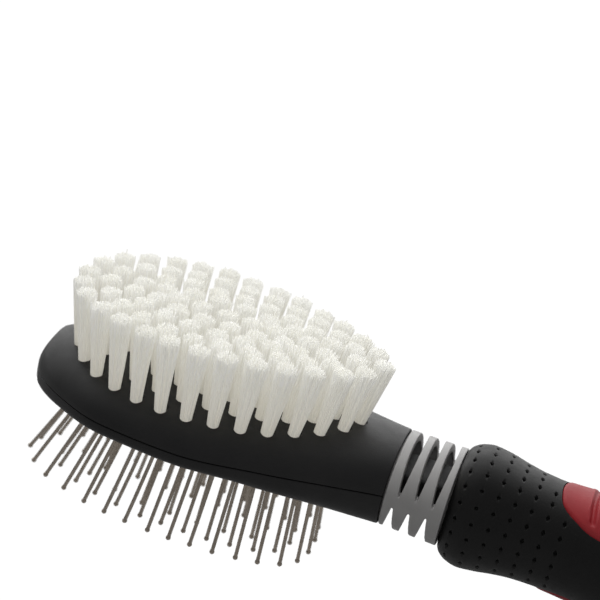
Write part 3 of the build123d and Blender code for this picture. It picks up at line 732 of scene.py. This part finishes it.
def build_neck_sleeve():
    """Tube with a lip into the head and one into the grip, slotted above and below."""
    start, end = RING_X + 0.35, GRIP_X - 0.35
    loop = [(start, 1.0), (start + 4, 1.0), (end - 4, 1.0), (end, 1.0), (end, 0.79),
            (end + 2.2, 0.775), (end + 2.2, 0.70), (end - 0.6, 0.70), (end - 1.0, 0.80),
            (start + 1.0, 0.80), (start - 2.2, 0.80), (start - 2.2, 0.89), (start, 0.89)]
    rows = superellipse_rows([neck_section(x, scale) for x, scale in loop], 160)
    sleeve = raw_solid("ribbed_neck_sleeve", rows.reshape(-1, 3), looped_faces(len(rows), 160))
    cut(sleeve, slot_cutter())
    # voxels and smoothing round off every rib edge
    remesh = sleeve.modifiers.new("voxels", "REMESH")
    remesh.mode = "VOXEL"
    remesh.voxel_size = 0.21
    remesh.adaptivity = 0.0
    bake_modifiers(sleeve)
    soften = sleeve.modifiers.new("soften", "SMOOTH")
    soften.factor = 0.5
    soften.iterations = 5
    bake_modifiers(sleeve)
    return finish_raw(sleeve)


def build_neck_core():
    """Flat strap through the neck with a wider block at each end."""
    def section(x, scale, wide=CORE_HALF_WIDTH):
        height = CORE_HALF_HEIGHT * scale
        return (x, wide * scale, height, height, 6.0, 6.0)

    start, end = RING_X - 9.5, GRIP_X + 15.0
    sections = [section(start + d, scale, wide) for d, scale, wide in CORE_END]
    sections += [section(x, 1.0) for x in np.linspace(RING_X - 4, GRIP_X + 6, 40)]
    sections += [section(end - d, scale, wide) for d, scale, wide in CORE_END[::-1]]
    rows = superellipse_rows(sections, 96)
    core = raw_solid("flexible_neck_core", rows.reshape(-1, 3), capped_faces(len(rows), 96))
    return finish_raw(core, sharp=40.0)


# ---------------------------------------------------------------- pad outlines
def closed_outline(table, grow=0.0):
    """240 even points on a Catmull-Rom loop through (length, half width) rows."""
    count = 240
    rows = np.array(table)
    loop = np.concatenate([np.stack([rows[:, 0], -rows[:, 1]], -1), rows[::-1][1:-1]])
    sides = np.linalg.norm(np.diff(np.vstack([loop, loop[:1]]), axis=0), axis=1)
    run = np.concatenate([[0], np.cumsum(sides)])
    corners = len(loop)
    points = []
    for k in range(count):
        wanted = run[-1] * k / count
        i = min(int(np.searchsorted(run, wanted, side="right")) - 1, corners - 1)
        f = (wanted - run[i]) / sides[i]
        p0, p1, p2, p3 = (loop[(i + j) % corners] for j in (-1, 0, 1, 2))
        points.append(0.5 * ((2 * p1) + (-p0 + p2) * f + (2 * p0 - 5 * p1 + 4 * p2 - p3) * f * f
                             + (-p0 + 3 * p1 - 3 * p2 + p3) * f**3))
    points = np.array(points)
    if grow:
        tangent = np.roll(points, -1, 0) - np.roll(points, 1, 0)
        normal = np.stack([tangent[:, 1], -tangent[:, 0]], -1)
        normal /= np.linalg.norm(normal, axis=1)[:, None]
        if np.mean(np.sum(normal * (points - points.mean(0)), 1)) < 0:
            normal = -normal
        points = points + normal * grow
    return points


def inside_distance(x, y, loop):
    """Distance to a closed outline, positive inside."""
    best = np.full(x.shape, 1e9)
    inside = np.zeros(x.shape, bool)
    for (ax, ay), (bx, by) in zip(loop, np.roll(loop, -1, 0)):
        dx, dy = bx - ax, by - ay
        f = np.clip(((x - ax) * dx + (y - ay) * dy) / (dx * dx + dy * dy), 0, 1)
        best = np.minimum(best, np.hypot(x - ax - f * dx, y - ay - f * dy))
        inside ^= ((ay > y) != (by > y)) & (x < (bx - ax) * (y - ay) / (by - ay + 1e-12) + ax)
    return np.where(inside, best, -best)


# ---------------------------------------------------------------- grip sleeve with dimples
DIMPLE_LENGTHS = [2.6, 6.8, 11.05, 15.25, 19.45, 23.6, 27.8]
DIMPLES_AROUND = 23
DIMPLE_PITCH = 360.0 / DIMPLES_AROUND
DIMPLE_ANGLES = [math.radians(180 - (103.6 - k * DIMPLE_PITCH)) for k in range(DIMPLES_AROUND)]
DIMPLE_DEPTH, DIMPLE_FLOOR, DIMPLE_SLOPE = 0.80, 0.24, 0.26   # depth, floor radius, wall width
GRIP_WALL = 2.2
PAD_CLEARANCE = 0.13


def grip_angles():
    """Angles round the grip, crowded at each dimple."""
    offsets = [-0.5, -0.36, -0.245, -0.17, -0.11, -0.062, 0.0, 0.062, 0.11, 0.17, 0.245, 0.36]
    angles = []
    for k in range(DIMPLES_AROUND):
        for share in offsets:
            crowd = 0.52 if abs(share) < 0.2 else 1.0
            angles.append(math.radians(180 - (103.6 - k * DIMPLE_PITCH)
                                       - share * DIMPLE_PITCH * crowd))
    return np.array(sorted(a % (2 * math.pi) for a in angles))


def grip_lengths():
    """Stations along the grip, crowded at the front edge, the dimples and the end."""
    lengths = [0.0, 0.12, 0.3, 0.55, 0.85, 1.2, 1.6]
    around_dimple = (-0.62, -0.46, -0.34, -0.2, 0.0, 0.2, 0.34, 0.46, 0.62,
                     1.1, 1.6, 2.1, 2.6, 3.1)
    for centre in DIMPLE_LENGTHS:
        lengths += [centre + d for d in around_dimple]
    lengths = sorted(x for x in set(round(x, 3) for x in lengths) if x <= 31.0)
    lengths += list(np.arange(31.6, GRIP_END - 0.6, 0.8))
    return lengths + [GRIP_END - 0.45, GRIP_END - 0.3, GRIP_END - 0.15, GRIP_END - 0.04, GRIP_END]


def press_dimples(rows, lengths):
    """Pushes the dimples into the outer rows, leaving the pads' ground free."""
    thumb_loop, finger_loop = closed_outline(THUMB_OUTLINE), closed_outline(FINGER_OUTLINE)
    for length in DIMPLE_LENGTHS:
        centre_z = handle_at(length)[2]
        near = [i for i, x in enumerate(lengths) if abs(x - length) < 0.9]
        patch = rows[near[0]:near[-1] + 1]
        for angle in DIMPLE_ANGLES:
            centre = handle_ring(length, np.array([angle]))[0]
            plan = np.array([length]), np.array([centre[1]])
            if centre[2] > 0 and inside_distance(*plan, thumb_loop)[0] > -1.5:
                continue
            if centre[2] < -6 and inside_distance(*plan, finger_loop)[0] > -1.3:
                continue
            inward = np.array([centre[0], 0.0, centre_z]) - centre
            inward /= np.linalg.norm(inward)
            d = np.linalg.norm(patch - centre, axis=-1)
            depth = DIMPLE_DEPTH * (1 - np.clip((d - DIMPLE_FLOOR) / DIMPLE_SLOPE, 0, 1))
            patch += depth[..., None] * inward


def grip_front(angles):
    """Rings of the neck-shaped mouth at the grip's front, at the sleeve's own angles."""
    centre_drop = -HANDLE[0][3]
    rings = []
    for length, scale in ((2.2, 0.80), (0.0, 0.80), (0.0, 0.93)):
        section = (GRIP_X + length, NECK_HALF_WIDTH * scale, NECK_UP * scale,
                   NECK_DOWN[1] * scale, CROWN_EXPONENT, NECK_EXPONENT)
        ring = superellipse_rows([section], 720)[0]
        ring_angles = np.arctan2(ring[:, 2] + centre_drop, ring[:, 1]) % (2 * math.pi)
        order = np.argsort(ring_angles)
        y, z = (np.interp(angles, ring_angles[order], ring[order, c], period=2 * math.pi)
                for c in (1, 2))
        points = np.stack([np.full(len(angles), GRIP_X + length), y, z], -1)
        if scale > 0.9:   # the mouth's outer edge must stay inside the grip's
            limit = handle_ring(0.0, angles, 0.35)
            radius = np.hypot(points[:, 1], points[:, 2] + centre_drop)
            allowed = np.hypot(limit[:, 1], limit[:, 2] + centre_drop)
            f = np.minimum(1, allowed / radius)[:, None]
            points[:, 1:] = (points[:, 1:] + [0, centre_drop]) * f - [0, centre_drop]
        rings.append(points)
    return np.array(rings)


def plan_cutter(name, table, z_low, z_high):
    """Upright prism over a pad's outline, a little larger than the pad."""
    loop = closed_outline(table, grow=PAD_CLEARANCE)
    count = len(loop)
    verts = [(GRIP_X + x, y, z) for z in (z_low, z_high) for x, y in loop]
    faces = end_caps(2, count) + grid_faces(2, count, closed=True).tolist()
    return raw_solid(name, verts, faces)


def build_grip():
    angles, lengths = grip_angles(), grip_lengths()
    outer = np.array([handle_ring(length, angles) for length in lengths])
    press_dimples(outer, lengths)
    # rounded rim at the tail end
    for k, inset in zip(range(-4, 0), (0.045, 0.108, 0.234, 0.405)):
        outer[k] = handle_ring(lengths[k], angles, inset)
    inner_lengths = [GRIP_END, 90.0, 80.0, 70.0, 60.0, 50.0, 40.0, 32.0, 26.0, 20.0, 15.0, 10.0,
                     6.0, 3.0, 2.2]
    inner = np.array([handle_ring(length, angles, GRIP_WALL) for length in inner_lengths])
    rows = np.concatenate([outer, inner, grip_front(angles)])
    grip = raw_solid("soft_grip_sleeve", rows.reshape(-1, 3), looped_faces(len(rows), len(angles)))
    cut(grip, plan_cutter("thumb_cutter", THUMB_OUTLINE, 2.0, 30.0))
    cut(grip, plan_cutter("finger_cutter", FINGER_OUTLINE, -30.0, -6.0))
    return finish_raw(grip, sharp=42.0)


# ---------------------------------------------------------------- red pads
PAD_PROUD = 0.30          # height above the handle's surface
PAD_DEPTH = 2.15
PAD_EDGE_ROUND = 0.75


def pad_lengths(low, high, grooves):
    """Stations along a pad, crowded at both ends and across each groove."""
    lengths = list(low + (high - low) * (1 - np.cos(np.linspace(0, math.pi / 2, 22))) * 0.16)
    lengths += list(np.arange(lengths[-1] + 0.5, high - 6.0, 0.8))
    lengths += list(high - 6.0 * (1 - np.sin(np.linspace(0, math.pi / 2, 18))))
    for groove in grooves:
        lengths = [x for x in lengths if abs(x - groove) > 1.2]
        lengths += [groove + d for d in np.linspace(-1.15, 1.15, 15)]
    return sorted(set(round(min(max(x, low), high), 4) for x in lengths))


def pad_lift(length, y, distance, grooves):
    """Height over the handle: rounded edge, bowed grooves and the ridges beside them."""
    r = PAD_EDGE_ROUND
    drop = r - np.sqrt(np.clip(r * r - np.clip(r - distance, 0, r) ** 2, 0, None))
    bow = 1.2 * (y / 10.7) ** 2 - 0.9
    lift = PAD_PROUD - drop
    fade = np.clip((distance - 1.2) / 1.0, 0, 1)
    for groove in grooves:
        e = np.abs(length - (groove + bow)) / 0.95
        lift -= 0.85 * np.clip(1 - e**2, 0, 1) ** 1.5 * fade
        lift += 0.16 * np.exp(-(((e - 1.25) / 0.35) ** 2)) * fade
    return lift


def build_pad(name, table, side, grooves):
    """Pad on the handle's top (side 1) or underside (side -1)."""
    loop = closed_outline(table)
    low, high = table[0][0], table[-1][0]
    half = loop[loop[:, 1] >= -1e-9]
    half = half[np.argsort(half[:, 0])]
    across = np.sin(np.linspace(-math.pi / 2, math.pi / 2, 61))
    top, bottom = [], []
    for length in pad_lengths(low, high, grooves):
        reach = 0.0
        if low < length < high:
            reach = max(float(np.interp(length, half[:, 0], half[:, 1])), 0.0)
        half_height, half_wide, centre_z = handle_at(length)
        y = across * reach
        for rows, inset, limit in ((top, 0.0, np.inf), (bottom, PAD_DEPTH, 0.999)):
            share = np.minimum(np.abs(y / (half_wide - inset)), limit)
            z = (side * (half_height - inset)
                 * (1 - share**HANDLE_EXPONENT) ** (1 / HANDLE_EXPONENT) + centre_z)
            rows.append(np.stack([np.full(len(across), length), y, z], -1))
    top, bottom = np.array(top), np.array(bottom)
    distance = np.clip(inside_distance(top[..., 0], top[..., 1], loop), 0, None)
    top[..., 2] += side * pad_lift(top[..., 0], top[..., 1], distance, grooves)
    rings = np.concatenate([top, bottom[:, ::-1]], axis=1)
    rings[..., 0] += GRIP_X
    faces = grid_faces(*rings.shape[:2], closed=True)
    return new_object(name, rings.reshape(-1, 3), faces, sharp=40.0, merge=0.0006)


# ---------------------------------------------------------------- hard core and tail
def hanging_hole_cutter():
    """Upright lathe solid on the origin, flared where it meets the tail's two faces."""
    face = handle_at(-GRIP_X)[0]
    upper = [(face - 1.3, 4.0), (face - 0.85, 4.05), (face - 0.42, 4.3), (face - 0.14, 4.75),
             (face + 0.05, 5.35), (12, 6.8)]   # (z, radius)
    profile = [(-z, radius) for z, radius in upper[::-1]] + upper
    upright = (np.zeros(3), *np.eye(3))
    return raw_solid("hole_cutter", *lathe_solids(profile, 72, [upright]))


def build_handle_core():
    """Core inside the sleeve, stepping out to the full section behind it."""
    count = 144
    angles = even_angles(count)
    # (length, inset)
    stations = [(2.4, 6.0)]
    stations += [(length, 2.35) for length in (2.4, 5.0, 10.0, 16.0, 23.0, 32.0, 45.0, 60.0, 75.0,
                                               88.0, 96.0, GRIP_END + 0.05)]
    stations += [(GRIP_END + 0.05, 0.5), (GRIP_END + 0.12, 0.22), (GRIP_END + 0.3, 0.05)]
    stations += [(length, 0.0) for length in np.arange(98.8, 121.0, 0.6)]
    stations += [(min(HANDLE_END - 6.0 * (1 - s), HANDLE_END), 0.0)
                 for s in np.sin(np.linspace(0.0, math.pi / 2, 26))]
    stations += [(HANDLE_END, 1.2)]
    rows = np.array([handle_ring(length, angles, inset) for length, inset in stations])
    core = raw_solid("red_handle_core", rows.reshape(-1, 3), capped_faces(len(rows), count))
    cut(core, hanging_hole_cutter())
    return finish_raw(core, sharp=40.0)


# ---------------------------------------------------------------- materials
class Shader:
    """Node-tree builder around one Principled BSDF, with texture space in millimetres."""

    def __init__(self, name):
        self.material = bpy.data.materials.new(name)
        self.material.use_nodes = True
        self.tree = self.material.node_tree
        self.tree.nodes.clear()
        self.output = self.node("ShaderNodeOutputMaterial")
        self.bsdf = self.node("ShaderNodeBsdfPrincipled")
        self.surface(self.bsdf.outputs[0])
        self.space = self.node("ShaderNodeTexCoord").outputs["Object"]
        self.space = self.stretched(1000, 1000, 1000)
        self.normal = None

    def node(self, kind, **properties):
        node = self.tree.nodes.new(kind)
        for key, value in properties.items():
            setattr(node, key, value)
        return node

    def link(self, source, target):
        self.tree.links.new(source, target)

    def surface(self, shader):
        self.link(shader, self.output.inputs["Surface"])

    def drive(self, **sockets):
        """Links sockets to BSDF inputs; an underscore stands for a space."""
        for key, socket in sockets.items():
            self.link(socket, self.bsdf.inputs[key.replace("_", " ")])

    def set(self, **values):
        for key, value in values.items():
            self.bsdf.inputs[key].default_value = value

    def stretched(self, x, y, z):
        node = self.node("ShaderNodeMapping")
        node.inputs["Scale"].default_value = (x, y, z)
        self.link(self.space, node.inputs["Vector"])
        return node.outputs[0]

    def noise(self, scale, detail=3.0, roughness=0.6, vector=None, distortion=0.0):
        node = self.node("ShaderNodeTexNoise")
        node.inputs["Scale"].default_value = scale
        node.inputs["Detail"].default_value = detail
        node.inputs["Roughness"].default_value = roughness
        node.inputs["Distortion"].default_value = distortion
        self.link(vector or self.space, node.inputs["Vector"])
        return node.outputs["Fac"]

    def cells(self, scale):
        node = self.node("ShaderNodeTexVoronoi", feature="F1")
        node.inputs["Scale"].default_value = scale
        self.link(self.space, node.inputs["Vector"])
        return node.outputs["Distance"]

    def bands(self, direction, scale):
        node = self.node("ShaderNodeTexWave", wave_type="BANDS", bands_direction=direction)
        node.inputs["Scale"].default_value = scale
        self.link(self.space, node.inputs["Vector"])
        return node.outputs["Fac"]

    def remap(self, value, source=(0.3, 0.7), to=(0.0, 1.0)):
        node = self.node("ShaderNodeMapRange")
        set_range(node, source, to)
        self.link(value, node.inputs["Value"])
        return node.outputs[0]

    def raised_edges(self, source):
        geometry = self.node("ShaderNodeNewGeometry")
        return self.remap(geometry.outputs["Pointiness"], source=source)

    def add(self, value, other):
        node = self.node("ShaderNodeMath", operation="ADD")
        self.link(value, node.inputs[0])
        self.link(other, node.inputs[1])
        return node.outputs[0]

    def multiply(self, value, by):
        node = self.node("ShaderNodeMath", operation="MULTIPLY")
        self.link(value, node.inputs[0])
        if isinstance(by, float):
            node.inputs[1].default_value = by
        else:
            self.link(by, node.inputs[1])
        return node.outputs[0]

    def mix(self, factor, start, end):
        """Colour mix; inputs 6 and 7 and output 2 are the node's colour sockets."""
        node = self.node("ShaderNodeMix", data_type="RGBA")
        self.link(factor, node.inputs["Factor"])
        for index, colour in ((6, start), (7, end)):
            if isinstance(colour, tuple):
                node.inputs[index].default_value = (*colour, 1.0)
            else:
                self.link(colour, node.inputs[index])
        return node.outputs[2]

    def bump(self, height, distance, strength):
        """Adds a bump (distance in millimetres) on top of the earlier ones."""
        node = self.node("ShaderNodeBump")
        node.inputs["Distance"].default_value = distance * MM
        node.inputs["Strength"].default_value = strength
        self.link(height, node.inputs["Height"])
        if self.normal is not None:
            self.link(self.normal, node.inputs["Normal"])
        self.normal = node.outputs[0]
        self.drive(Normal=self.normal)


def set_range(node, source, to):
    """Sets a Map Range node's limits."""
    for key, value in zip(("From Min", "From Max", "To Min", "To Max"), (*source, *to)):
        node.inputs[key].default_value = value


def black_plastic():
    g = Shader("moulded_black_plastic")
    grain = g.noise(scale=3.6, detail=2.0)
    cells = g.cells(scale=2.3)
    broad = g.noise(scale=0.06, detail=4.0, distortion=0.4)
    smudge = g.noise(scale=0.22, detail=5.0, roughness=0.62, distortion=0.8)
    dust = g.remap(g.noise(scale=1.1, detail=1.0, roughness=0.4), source=(0.76, 0.83))
    colour = g.mix(g.remap(broad), start=(0.0040, 0.0040, 0.0043), end=(0.0066, 0.0064, 0.0066))
    worn = g.multiply(g.raised_edges(source=(0.53, 0.62)), by=0.35)
    colour = g.mix(worn, start=colour, end=(0.030, 0.030, 0.030))
    colour = g.mix(g.multiply(dust, by=0.07), start=colour, end=(0.12, 0.115, 0.11))
    g.drive(Base_Color=colour,
            Roughness=g.add(g.remap(smudge, to=(0.44, 0.54)), g.remap(grain, to=(-0.02, 0.03))))
    g.set(IOR=1.43)
    g.bump(grain, distance=0.05, strength=0.55)
    g.bump(cells, distance=0.03, strength=0.35)
    g.bump(broad, distance=0.25, strength=0.25)
    return g.material


def nylon():
    """Whitish filaments, part translucent, with painted shade that darkens them towards the roots
    and a faint painted glow standing in for light through the tufts.
    """
    g = Shader("nylon_filament")
    xyz = g.node("ShaderNodeSeparateXYZ")
    g.link(g.space, xyz.inputs[0])
    # height share up the tufts; it sets both the painted shade at the roots and the painted glow
    up = g.remap(xyz.outputs["Z"], source=(9.0, 26.5))
    streak = g.noise(scale=1.0, detail=2.0, roughness=0.5, vector=g.stretched(3.4, 3.4, 0.10))
    patch = g.noise(scale=0.16, detail=2.0, roughness=0.5)
    # painted shade: filaments darker and warmer low in the tufts, lighter at their tops
    colour = g.mix(up, start=(0.88, 0.865, 0.82), end=(0.97, 0.97, 0.955))
    streaks = g.remap(streak, source=(0.30, 0.62), to=(0.40, 0.0))
    colour = g.mix(streaks, start=colour, end=(0.80, 0.78, 0.72))
    patches = g.remap(patch, source=(0.35, 0.65), to=(0.0, 0.18))
    colour = g.mix(patches, start=colour, end=(0.88, 0.87, 0.80))
    g.drive(Base_Color=colour, Roughness=g.remap(streak, to=(0.30, 0.44)))
    g.set(IOR=1.53)
    fine = g.noise(scale=1.0, detail=1.0, roughness=0.5, vector=g.stretched(7.0, 7.0, 0.6))
    g.bump(fine, distance=0.02, strength=0.4)
    translucent = g.node("ShaderNodeBsdfTranslucent")
    g.link(colour, translucent.inputs["Color"])
    body = g.node("ShaderNodeMixShader")
    body.inputs[0].default_value = 0.30   # translucent share
    g.link(g.bsdf.outputs[0], body.inputs[1])
    g.link(translucent.outputs[0], body.inputs[2])
    # painted glow: emission in the filaments' colour, a little stronger low down, standing in for
    # light scattered through the tufts
    painted_glow = g.node("ShaderNodeEmission")
    g.link(colour, painted_glow.inputs["Color"])
    g.link(g.remap(up, source=(0.0, 1.0), to=(0.110, 0.085)), painted_glow.inputs["Strength"])
    both = g.node("ShaderNodeAddShader")
    g.link(body.outputs[0], both.inputs[0])
    g.link(painted_glow.outputs[0], both.inputs[1])
    g.surface(both.outputs[0])
    return g.material


def steel(name, base, roughness):
    """Metal with fine streaks along Z."""
    g = Shader(name)
    draw = g.noise(scale=1.0, vector=g.stretched(9.0, 9.0, 0.22))
    tone = g.noise(scale=0.5)
    colour = g.mix(g.remap(tone), start=tuple(c * 0.78 for c in base), end=base)
    streaks = g.remap(draw, source=(0.35, 0.65), to=(0.0, 0.35))
    colour = g.mix(streaks, start=colour, end=tuple(c * 0.55 for c in base))
    g.drive(Base_Color=colour,
            Roughness=g.remap(draw, to=(roughness - 0.05, roughness + 0.12)))
    g.set(Metallic=1.0)
    g.bump(draw, distance=0.02, strength=0.35)
    return g.material


def elastomer(name, dark, light, roughness, grain_scale, grain, worn=None, ior=1.5):
    """Grained rubber or plastic; worn is the colour that raised edges fade to."""
    g = Shader(name)
    g.set(IOR=ior)
    broad = g.noise(scale=0.09, detail=4.0, distortion=0.5)
    fine = g.noise(scale=grain_scale)
    cells = g.cells(scale=grain_scale * 0.8)
    wear = g.noise(scale=0.35, detail=5.0, roughness=0.65, distortion=0.6)
    colour = g.mix(g.remap(broad), start=dark, end=light)
    if worn:
        edges = g.multiply(g.raised_edges(source=(0.52, 0.60)),
                           by=g.remap(wear, source=(0.35, 0.6), to=(0.25, 0.65)))
        colour = g.mix(edges, start=colour, end=worn)
    g.drive(Base_Color=colour,
            Roughness=g.add(g.remap(wear, to=(roughness - 0.05, roughness + 0.06)),
                            g.remap(fine, to=(-0.02, 0.03))))
    g.bump(fine, distance=0.05, strength=grain)
    g.bump(cells, distance=0.04, strength=grain * 0.6)
    g.bump(broad, distance=0.2, strength=0.2)
    return g.material


def woven_liner():
    g = Shader("woven_liner")
    weave = g.multiply(g.bands("X", scale=0.9), by=g.bands("Y", scale=0.9))
    colour = g.mix(g.remap(weave, source=(0, 1)), start=(0.34, 0.32, 0.28), end=(0.60, 0.57, 0.50))
    g.drive(Base_Color=colour, Roughness=g.remap(weave, source=(0, 1), to=(0.9, 0.75)))
    g.bump(weave, distance=0.15, strength=0.6)
    return g.material


def make_materials():
    return {
        "head": black_plastic(),
        "nylon": nylon(),
        "steel": steel("drawn_pin_steel", base=(0.50, 0.435, 0.365), roughness=0.16),
        "wire": steel("anchor_wire", base=(0.66, 0.66, 0.65), roughness=0.35),
        "cushion": elastomer(
            "cushion_rubber", dark=(0.006, 0.006, 0.0065), light=(0.011, 0.011, 0.0115),
            roughness=0.62, grain_scale=2.4, grain=0.6, worn=(0.03, 0.03, 0.03)),
        "liner": woven_liner(),
        "neck": elastomer(
            "neck_grey_elastomer", dark=(0.225, 0.221, 0.218), light=(0.262, 0.257, 0.253),
            roughness=0.40, grain_scale=3.2, grain=0.30, worn=(0.36, 0.355, 0.35)),
        "neck_core": elastomer(
            "neck_core_rubber", dark=(0.004, 0.004, 0.004), light=(0.008, 0.008, 0.008),
            roughness=0.6, grain_scale=2.6, grain=0.4),
        "grip": elastomer(
            "grip_black_rubber", dark=(0.0014, 0.0014, 0.0014), light=(0.0028, 0.0027, 0.0027),
            roughness=0.50, grain_scale=2.8, grain=0.55, worn=(0.018, 0.018, 0.018), ior=1.36),
        "pad": elastomer(
            "pad_red_rubber", dark=(0.200, 0.0055, 0.009), light=(0.235, 0.0065, 0.011),
            roughness=0.50, grain_scale=2.8, grain=0.45, worn=(0.36, 0.03, 0.04), ior=1.36),
        "tail": elastomer(
            "core_red_plastic", dark=(0.200, 0.008, 0.013), light=(0.230, 0.010, 0.016),
            roughness=0.34, grain_scale=3.4, grain=0.18, worn=(0.42, 0.04, 0.05)),
    }


# ---------------------------------------------------------------- how each piece is attached: to a body, or left in place with its transform baked
def ride_on(body):
    return lambda obj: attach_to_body(obj, body)


def follow_cushion(obj):
    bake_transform(obj)


def follow_neck(obj):
    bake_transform(obj)


# ---------------------------------------------------------------- build, paint and attach
# rows of (object, CAD node it stands for, material, attachment)
on_head, on_pin_bed, on_handle = ride_on("head"), ride_on("pin_bed"), ride_on("handle")
rng = np.random.default_rng(7)
pieces = [(build_upper_shell(), "bristle_shell", "head", on_head),
          (build_lower_shell(), "pin_shell", "head", on_head)]
for group, places in tuft_places.items():
    tufts = build_tufts("nylon_tufts_" + group, places, rng)
    pieces.append((tufts, "tufts_" + group, "nylon", on_head))
for group, places in pin_places.items():
    pins = build_pins("steel_pins_" + group, places, rng)
    pieces.append((pins, "pins_" + group, "steel", on_pin_bed))
pieces += [
    (build_cushion(), "pin_cushion", "cushion", follow_cushion),
    (build_neck_sleeve(), "neck_sleeve", "neck", follow_neck),
    (build_neck_core(), "neck_core", "neck_core", follow_neck),
    (build_grip(), "grip_sleeve", "grip", on_handle),
    (build_pad("red_thumb_pad", THUMB_OUTLINE, 1, THUMB_GROOVES), "thumb_pad", "pad", on_handle),
    (build_pad("red_finger_pad", FINGER_OUTLINE, -1, []), "finger_pad", "pad", on_handle),
    (build_handle_core(), "handle_core", "tail", on_handle),
]

materials = make_materials()
for obj, _, material, _ in pieces:
    obj.data.materials.clear()
    obj.data.materials.append(materials[material])
# two CAD pieces are kept as they are and only painted
for node, material in (("tuft_anchors", "wire"), ("cushion_liner", "liner")):
    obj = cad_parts[node]
    if not obj.material_slots:
        obj.data.materials.append(materials[material])
    for slot in obj.material_slots:
        slot.link = "OBJECT"
        slot.material = materials[material]

for obj, node, _, attach in pieces:
    attach(obj)
    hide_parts(node)


# ---------------------------------------------------------------- floor, world and lights, metres
BACKDROP = 1.05            # brightness the camera sees behind the brush
WHITE = (1, 1, 1, 1)


def split_by_ray(tree, lighting, backdrop, output):
    """Camera rays see the backdrop shader, all other rays the lighting shader."""
    rays = tree.nodes.new("ShaderNodeLightPath")
    mix = tree.nodes.new("ShaderNodeMixShader")
    tree.links.new(rays.outputs["Is Camera Ray"], mix.inputs[0])
    tree.links.new(lighting.outputs[0], mix.inputs[1])
    tree.links.new(backdrop.outputs[0], mix.inputs[2])
    tree.links.new(mix.outputs[0], output.inputs["Surface"])


def white_source(tree, kind, strength=None):
    node = tree.nodes.new(kind)
    node.inputs["Color"].default_value = WHITE
    if strength is not None:
        node.inputs["Strength"].default_value = strength
    return node


def build_floor():
    bpy.ops.mesh.primitive_plane_add(size=6.0, location=(-0.12, 0, -0.16))
    floor = bpy.context.object
    floor.name = "studio_floor"
    material = bpy.data.materials.new("studio_floor")
    material.use_nodes = True
    tree = material.node_tree
    grey = tree.nodes["Principled BSDF"]
    grey.inputs["Base Color"].default_value = (0.32, 0.32, 0.32, 1)
    grey.inputs["Roughness"].default_value = 0.9
    backdrop = white_source(tree, "ShaderNodeEmission", BACKDROP)
    split_by_ray(tree, grey, backdrop, tree.nodes["Material Output"])
    floor.data.materials.append(material)


def build_world():
    """White surroundings, brightest towards one side of the brush (+Y)."""
    world = bpy.data.worlds.new("studio")
    bpy.context.scene.world = world
    world.use_nodes = True
    tree = world.node_tree
    tree.nodes.clear()
    output = tree.nodes.new("ShaderNodeOutputWorld")
    direction = tree.nodes.new("ShaderNodeTexCoord")
    facing = tree.nodes.new("ShaderNodeVectorMath")
    facing.operation = "DOT_PRODUCT"
    facing.inputs[1].default_value = Vector((-0.30, 0.93, 0.22)).normalized()
    tree.links.new(direction.outputs["Generated"], facing.inputs[0])
    brightness = tree.nodes.new("ShaderNodeMapRange")
    brightness.interpolation_type = "SMOOTHSTEP"
    set_range(brightness, source=(0.10, 0.95), to=(0.28, 1.95))
    tree.links.new(facing.outputs["Value"], brightness.inputs["Value"])
    lighting = white_source(tree, "ShaderNodeBackground")
    tree.links.new(brightness.outputs[0], lighting.inputs["Strength"])
    backdrop = white_source(tree, "ShaderNodeBackground", BACKDROP)
    split_by_ray(tree, lighting, backdrop, output)


def softbox(name, place, size, watts):
    aim = Vector((-0.16, 0, 0.01))
    data = bpy.data.lights.new(name, "AREA")
    data.shape = "RECTANGLE"
    data.size, data.size_y = size
    data.energy = watts
    light = bpy.data.objects.new(name, data)
    light.location = place
    light.rotation_mode = "QUATERNION"
    light.rotation_quaternion = (aim - Vector(place)).to_track_quat("-Z", "Y")
    bpy.context.scene.collection.objects.link(light)
    light.visible_glossy = False


# ---------------------------------------------------------------- camera
# the neck's middle as the camera sees it, millimetres right, up and behind
NECK_IN_VIEW = np.array([31.074884, -45.025054, -494.37])


def camera_axes(azimuth, elevation, roll):
    """Rows right, up and back of a camera turned by degrees from looking along +Y."""
    a, e, r = math.radians(azimuth), math.radians(elevation), math.radians(roll)
    back = np.array([math.sin(a) * math.cos(e), -math.cos(a) * math.cos(e), math.sin(e)])
    right = np.array([math.cos(a), math.sin(a), 0.0])
    level = np.array([right, np.cross(back, right), back])
    turn = [[math.cos(r), math.sin(r), 0], [-math.sin(r), math.cos(r), 0], [0, 0, 1]]
    return np.array(turn) @ level


def build_camera():
    scene = bpy.context.scene
    axes = camera_axes(azimuth=9.97, elevation=23.06, roll=14.36)
    place = (-NECK_IN_VIEW @ axes + np.array([NECK_X, 0, 0])) * MM
    data = bpy.data.cameras.new("camera")
    camera = bpy.data.objects.new("camera", data)
    scene.collection.objects.link(camera)
    camera.matrix_world = Matrix([[*axes[:, i], place[i]] for i in range(3)] + [[0, 0, 0, 1]])
    data.sensor_width = 36.0
    data.lens = 119.8806
    data.clip_start, data.clip_end = 0.01, 50.0
    focus = bpy.data.objects.new("focus", None)
    focus.location = (-0.175, -0.022, 0.010)
    scene.collection.objects.link(focus)
    data.dof.use_dof = True
    data.dof.focus_object = focus
    data.dof.aperture_fstop = 20.0
    scene.camera = camera
    scene.view_settings.view_transform = "Standard"
    scene.view_settings.look = "None"


build_floor()
build_world()
softbox("overhead", place=(-0.28, 0.10, 0.55), size=(0.7, 0.5), watts=2.0)
softbox("front_fill", place=(-0.12, -0.50, 0.36), size=(0.5, 0.4), watts=0.75)
build_camera()
